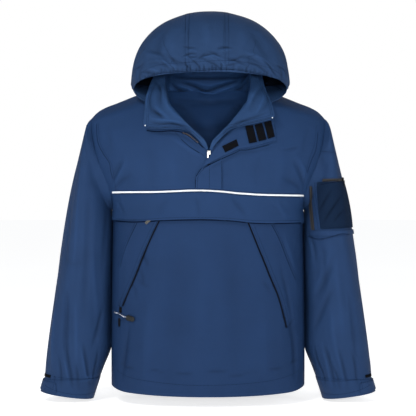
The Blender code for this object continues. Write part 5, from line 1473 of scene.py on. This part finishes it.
# the dark row under the brim's rolled edge is a painted shadow line
BRIM_SHADOW_LINE = (
    (-165.4, 23.0), (-154.7, 35.6), (-132.5, 43.3), (-109.7, 49.7), (-64.0, 52.2), (-18.3, 54.3), (27.4, 57.5),
    (73.1, 55.4), (96.0, 51.1), (118.8, 47.7), (141.7, 42.0), (163.4, 31.0), (174.8, 18.4),
)
EDGE_STITCH_AND_SHADOW_ROWS += drawn("sleeve_right", "front", CUFF_TACK)
EDGE_STITCH_AND_SHADOW_ROWS += drawn("body", "left", SHOULDER_TACK) + drawn("body", "right", SHOULDER_TACK)
EDGE_STITCH_AND_SHADOW_ROWS += drawn("body", "front", *TEETH_TAPES)
EDGE_STITCH_AND_SHADOW_ROWS += drawn("hood", "front", BRIM_SHADOW_LINE)
EDGE_STITCH_AND_SHADOW_ROWS += drawn(
    "sleeve_left", "front",
    # round the sleeve pocket
    ((236.7, -326.0), (257.8, -331.9), (281.3, -328.3), (309.4, -320.1), (332.8, -321.3)),
    ((264.9, -204.1), (286.0, -200.6), (311.8, -195.4)),
)
beads_along("edge_stitches_and_painted_shadows", edge_stitch, thread_and_stitch_shade, EDGE_STITCH_AND_SHADOW_ROWS, EDGE_PITCH, 0.0)

# %% [markdown]
# ## Zips
# The front zip is a moulded-tooth one. Where it stands open, its tape is sewn inside each edge and the teeth
# look out from under the collar's leaves. The pocket zips are fine coils, a row of small humps that lie
# across a narrow tape.

# %% Teeth and coils
TOOTH_PITCH = 0.0021
COIL_PITCH = 0.0015
COIL_LIFT = 0.0002
tooth = bead("tooth", 0.0013, 0.0030, 0.0016)
coil = bead("coil", 0.0010, 0.0026, 0.0011)
RIGHT_TEETH = drawn("body", "front", ((-58.3, -86.1), (-48.2, -89.3), (-37.9, -96.2), (-23.0, -109.0)))
TURNED_TEETH = drawn("body", "front", ((11.5, -120.1), (21.6, -109.5), (34.4, -96.2), (45.9, -87.0)))
COLLAR_TEETH = drawn(
    "collar", "front", beside(LEAF_RIGHT_ZIP[:-2], 0.6), beside(LEAF_LEFT_ZIP[:-2], -0.6),
)
HAND_COILS = drawn("tapes", "front", beside(WELT_RIGHT, 2.4), beside(WELT_LEFT, -2.4))
SLEEVE_COILS = drawn(
    "sleeve_tapes", "front",
    ((238.4, -209.0), (245.8, -310.0)), ((242.8, -209.0), (250.2, -310.0)), ((262.0, -197.0), (306.0, -193.5)),
)
beads_along("front_zip_teeth", tooth, coil_brass, RIGHT_TEETH, TOOTH_PITCH, 0.0007)
beads_along("front_zip_teeth_turned", tooth, coil_dark, TURNED_TEETH, TOOTH_PITCH, 0.0004)
beads_along("collar_zip_teeth", tooth, coil_dark, COLLAR_TEETH, TOOTH_PITCH, -0.0002)
beads_along("pocket_zip_coils", coil, coil_dark, HAND_COILS, COIL_PITCH, COIL_LIFT)
beads_along("sleeve_zip_coils", coil, coil_dark, SLEEVE_COILS, COIL_PITCH, COIL_LIFT)

# %% [markdown]
# ## Small hard pieces
# A slider is two plates joined by a neck, with a bridge on top that holds the tab. The tab is a stamped
# plate with a hole, and it hangs from the bridge. Each is made at the origin, with Z up and -Y outwards,
# and then set where its CAD block is.

# %% Plates, holes and placing
BEVEL_SEGMENTS = 3
HOLE_SIDES = 24
CUTTER_LENGTH = 0.02


def box_part(work, size, middle, bevel):
    """A rounded box added to a bmesh."""
    made = bmesh.ops.create_cube(work, size=1.0)["verts"]
    bmesh.ops.scale(work, verts=made, vec=size)
    bmesh.ops.translate(work, verts=made, vec=middle)
    edges = list({e for v in made for e in v.link_edges})
    bmesh.ops.bevel(
        work, geom=edges, offset=bevel, segments=BEVEL_SEGMENTS, affect="EDGES", profile=0.5, material=-1,
        clamp_overlap=True,
    )


def drilled(mesh, radius, middle):
    """The mesh with a round hole along Y."""
    work = bmesh.new()
    bmesh.ops.create_cone(
        work, cap_ends=True, segments=HOLE_SIDES, radius1=radius, radius2=radius, depth=CUTTER_LENGTH,
    )
    along_y = Matrix.Rotation(math.pi / 2, 3, "X")
    bmesh.ops.rotate(work, verts=work.verts[:], cent=(0, 0, 0), matrix=along_y)
    bmesh.ops.translate(work, verts=work.verts[:], vec=middle)
    cutter = add_object("cutter", mesh_from(work, "cutter"))
    holder = add_object("holder", mesh)
    cut = holder.modifiers.new("Hole", "BOOLEAN")
    cut.operation = "DIFFERENCE"
    cut.object = cutter
    result = evaluated_mesh(holder)
    for made in (cutter, holder):
        bpy.data.objects.remove(made)
    return result


def slider_mesh(width, thick, height):
    """A slider's two plates, its neck and its bridge, -Y outwards."""
    work = bmesh.new()
    plate = thick * 0.30
    box_part(work, (width, plate, height), (0, thick * 0.5 - plate * 0.5, 0), plate * 0.42)
    box_part(work, (width * 0.80, plate, height * 0.92), (0, thick * 0.12 - plate * 0.5, 0), plate * 0.42)
    box_part(work, (width * 0.34, thick * 0.5, height * 0.40), (0, thick * 0.18, height * 0.22), plate * 0.3)
    box_part(work, (width * 0.26, thick * 0.34, height * 0.74), (0, -thick * 0.31, 0), plate * 0.40)
    return mesh_from(work, "slider")


def tab_mesh(width, thick, top, foot, hole):
    """A tab with a hole near its foot, from top to foot along Z."""
    work = bmesh.new()
    box_part(work, (width, thick, top - foot), (0, 0, (top + foot) / 2), thick * 0.34)
    return drilled(mesh_from(work, "tab"), hole, (0, 0, foot + hole * 2.0))


def set_in_place(name, mesh, node, material, place, turn, body="root", slot="zip_metal"):
    """Puts a mesh made at the origin where its CAD block is."""
    mesh.transform(Matrix.LocRotScale(Vector(place), Euler(turn), None))
    piece = finish_piece(name, mesh, (material,), node, body)
    return piece


print("hole sides", HOLE_SIDES)

# %% Sliders and tabs
HARDWARE = (
    # name, mesh, node, material, place, turn, body, slot
    ("front_slider_dressed", slider_mesh(0.0080, 0.0036, 0.0095), "front_zip_slider", zip_metal,
     (0.0020, -0.13947, -0.1322), (0, 0, 0), "root", "zip_metal"),
    ("front_tab_dressed", tab_mesh(0.0034, 0.0011, 0.0006, -0.0129, 0.0009), "front_zip_pull", zip_metal,
     (-0.0004, -0.14222, -0.1317), (0, 0, 0), "zip_tab", "zip_metal"),
    ("chest_tab_dressed", tab_mesh(0.0062, 0.0010, 0.0070, -0.0070, 0.0012), "chest_zip_pull", chest_metal,
     (-0.13911, -0.11986, -0.2905), (0, 0.8727, -0.3771), "root", "zip_metal"),
    ("hand_slider_dressed", slider_mesh(0.0080, 0.0030, 0.0130), "hand_slider", zip_black,
     (-0.20548, -0.0773, -0.49767), (0, 0, -0.7974), "root", "zip_black"),
    ("hand_tail_dressed", tab_mesh(0.0058, 0.0014, 0.0100, -0.0100, 0.0011), "hand_slider_tail", zip_black,
     (-0.20812, -0.07235, -0.52699), (0, 0, -0.7953), "root", "zip_black"),
    ("sleeve_slider_dressed", slider_mesh(0.0080, 0.0034, 0.0095), "sleeve_zip_slider", zip_black,
     (0.32028, -0.03891, -0.19137), (0, 0, 1.2553), "root", "zip_black"),
    ("sleeve_tab_dressed", tab_mesh(0.0060, 0.0012, 0.0006, -0.0144, 0.0014), "sleeve_zip_pull", zip_black,
     (0.32285, -0.03975, -0.19437), (0, 0, 1.2553), "sleeve_tab", "zip_black"),
)
for row in HARDWARE:
    set_in_place(*row)
print("hard pieces", len(HARDWARE))

# %% [markdown]
# ## The pull cord and its grip
# A short braided cord is looped through the hand pocket's slider and ends in a moulded grip. The cord is a
# curve, so that its line stays exact, and the grip is a rounded bar with three grooves for the fingers.

# %% Cord
CORD_RADIUS = 0.0016
CORD_POINTS = 26
CORD_PATH = (
    (-0.19039, -0.09467, -0.51337), (-0.19696, -0.08974, -0.51192), (-0.20199, -0.08374, -0.50934),
    (-0.20641, -0.07788, -0.50722), (-0.21089, -0.07216, -0.50594), (-0.21591, -0.06569, -0.50508),
    (-0.22182, -0.05769, -0.50426),
)
cord_line = smooth_line(CORD_PATH, CORD_POINTS)
cord_curve = bpy.data.curves.new("pull_cord_braid", "CURVE")
cord_curve.dimensions = "3D"
cord_curve.bevel_depth = CORD_RADIUS
cord_curve.bevel_resolution = 4
cord_curve.use_fill_caps = True
spline = cord_curve.splines.new("POLY")
spline.points.add(len(cord_line) - 1)
for point, place in zip(spline.points, cord_line):
    point.co = (*place, 1.0)
cord_curve.materials.append(flecked_cord)
pull_cord = add_object("pull_cord_braid", cord_curve)
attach(pull_cord, "root")
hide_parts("pull_cord")

# %% Grip
GRIP_SIZE = (0.0250, 0.0070, 0.0140)
GRIP_PLACE = (-0.1804, -0.10197, -0.51545)
GRIP_TURN = (0, 0.1667, -0.631)
GRIP_SQUARENESS = 3.2    # 2 would leave it an ellipsoid
MOST_SWELL = 3.0
GROOVES = (-0.30, 0.0, 0.30)
GROOVE_DEPTH = 0.10
GROOVE_WIDTH = 0.07
GRIP_TAPER = 0.12


def grip_swell(along):
    """How much fuller the grip is than an ellipsoid at a place from -1 to 1 along it."""
    if abs(along) >= 0.999:
        return 1.0
    square = (1 - abs(along) ** GRIP_SQUARENESS) ** (1 / GRIP_SQUARENESS)
    return min(square / max((1 - along ** 2) ** 0.5, 1e-3), MOST_SWELL)


work = bmesh.new()
bmesh.ops.create_uvsphere(work, u_segments=28, v_segments=20, radius=0.5)
bmesh.ops.rotate(work, verts=work.verts[:], cent=(0, 0, 0), matrix=Matrix.Rotation(math.pi / 2, 3, "Y"))
for vert in work.verts:
    along = vert.co.x * 2
    grooves = sum(math.exp(-((along - at) / GROOVE_WIDTH) ** 2) for at in GROOVES)
    full = grip_swell(along) * (1 - GROOVE_DEPTH * grooves)
    vert.co.y *= full
    vert.co.z *= full * (1 - GRIP_TAPER * (along + 1) / 2)
bmesh.ops.scale(work, verts=work.verts[:], vec=GRIP_SIZE)
grip_mesh = mesh_from(work, "grip")
grip = set_in_place("grip_dressed", grip_mesh, "pull_grip", grip_rubber, GRIP_PLACE, GRIP_TURN, slot="grip")
print("grip", len(grip_mesh.polygons))

# %% [markdown]
# ## The zip's ends
# Where the open zip's two halves end, at the corners of the collar, a small pale stop is clamped on the last
# tooth.

# %% End stops
STOP_SIZE = (0.0024, 0.0018, 0.0030)
STOP_BEVEL = 0.0005
STOP_LIFT = 0.0006
STOPS = (("zip_stop_right", -0.1448, -0.0687), ("zip_stop_left", 0.1485, -0.0507))
for name, x, z in STOPS:
    hit, out = cast(cloth_face["collar"], "front", x, z)
    work = bmesh.new()
    box_part(work, STOP_SIZE, (0, 0, 0), STOP_BEVEL)
    stop_mesh = mesh_from(work, name)
    turn = out.to_track_quat("-Y", "Z").to_matrix().to_4x4()
    stop_mesh.transform(Matrix.Translation(hit + out * STOP_LIFT) @ turn)
    finish_piece(name, stop_mesh, (end_stop,))
print("end stops", len(STOPS))

# %% [markdown]


# %% [markdown]
# ## Floor
# A plain pale floor just under the cuffs catches a soft shadow. It has a painted glow, weaker near the
# garment, which paints a wider shade round the contact shadow, and stronger in the distance, where it meets
# the bright studio.

# %% Floor
FLOOR_Z = -0.718
FLOOR_HALF_SIZE = 45.0
FLOOR_PAINTED_GLOW = 0.78
GLOW_BY_METRE = 0.16     # from the painted shade near the garment to white
NEAR_PAINTED_SHADE = (0.92, 0.92, 0.92)
floor_painted_glow = Recipe("floor_painted_glow", (0.78, 0.78, 0.78), 0.9, gloss=0.0)
values = {"Vector": floor_painted_glow.place()}
far = floor_painted_glow.node("ShaderNodeVectorMath", {"operation": "LENGTH"}, values, "Value")
# a painted glow, weaker near the garment: painted shade round its contact shadow
painted_glow = floor_painted_glow.blend(far * GLOW_BY_METRE, NEAR_PAINTED_SHADE, (1.0, 1.0, 1.0))
floor_painted_glow.tree.links.new(painted_glow.socket, floor_painted_glow.shader.inputs["Emission Color"])
floor_painted_glow.shader.inputs["Emission Strength"].default_value = FLOOR_PAINTED_GLOW
work = bmesh.new()
bmesh.ops.create_grid(work, x_segments=2, y_segments=2, size=FLOOR_HALF_SIZE)
bmesh.ops.translate(work, verts=work.verts[:], vec=(0, 0, FLOOR_Z))
floor_mesh = mesh_from(work, "floor")
floor_mesh.materials.append(floor_painted_glow.material)
floor = add_object("floor", floor_mesh)
print("floor at", FLOOR_Z)
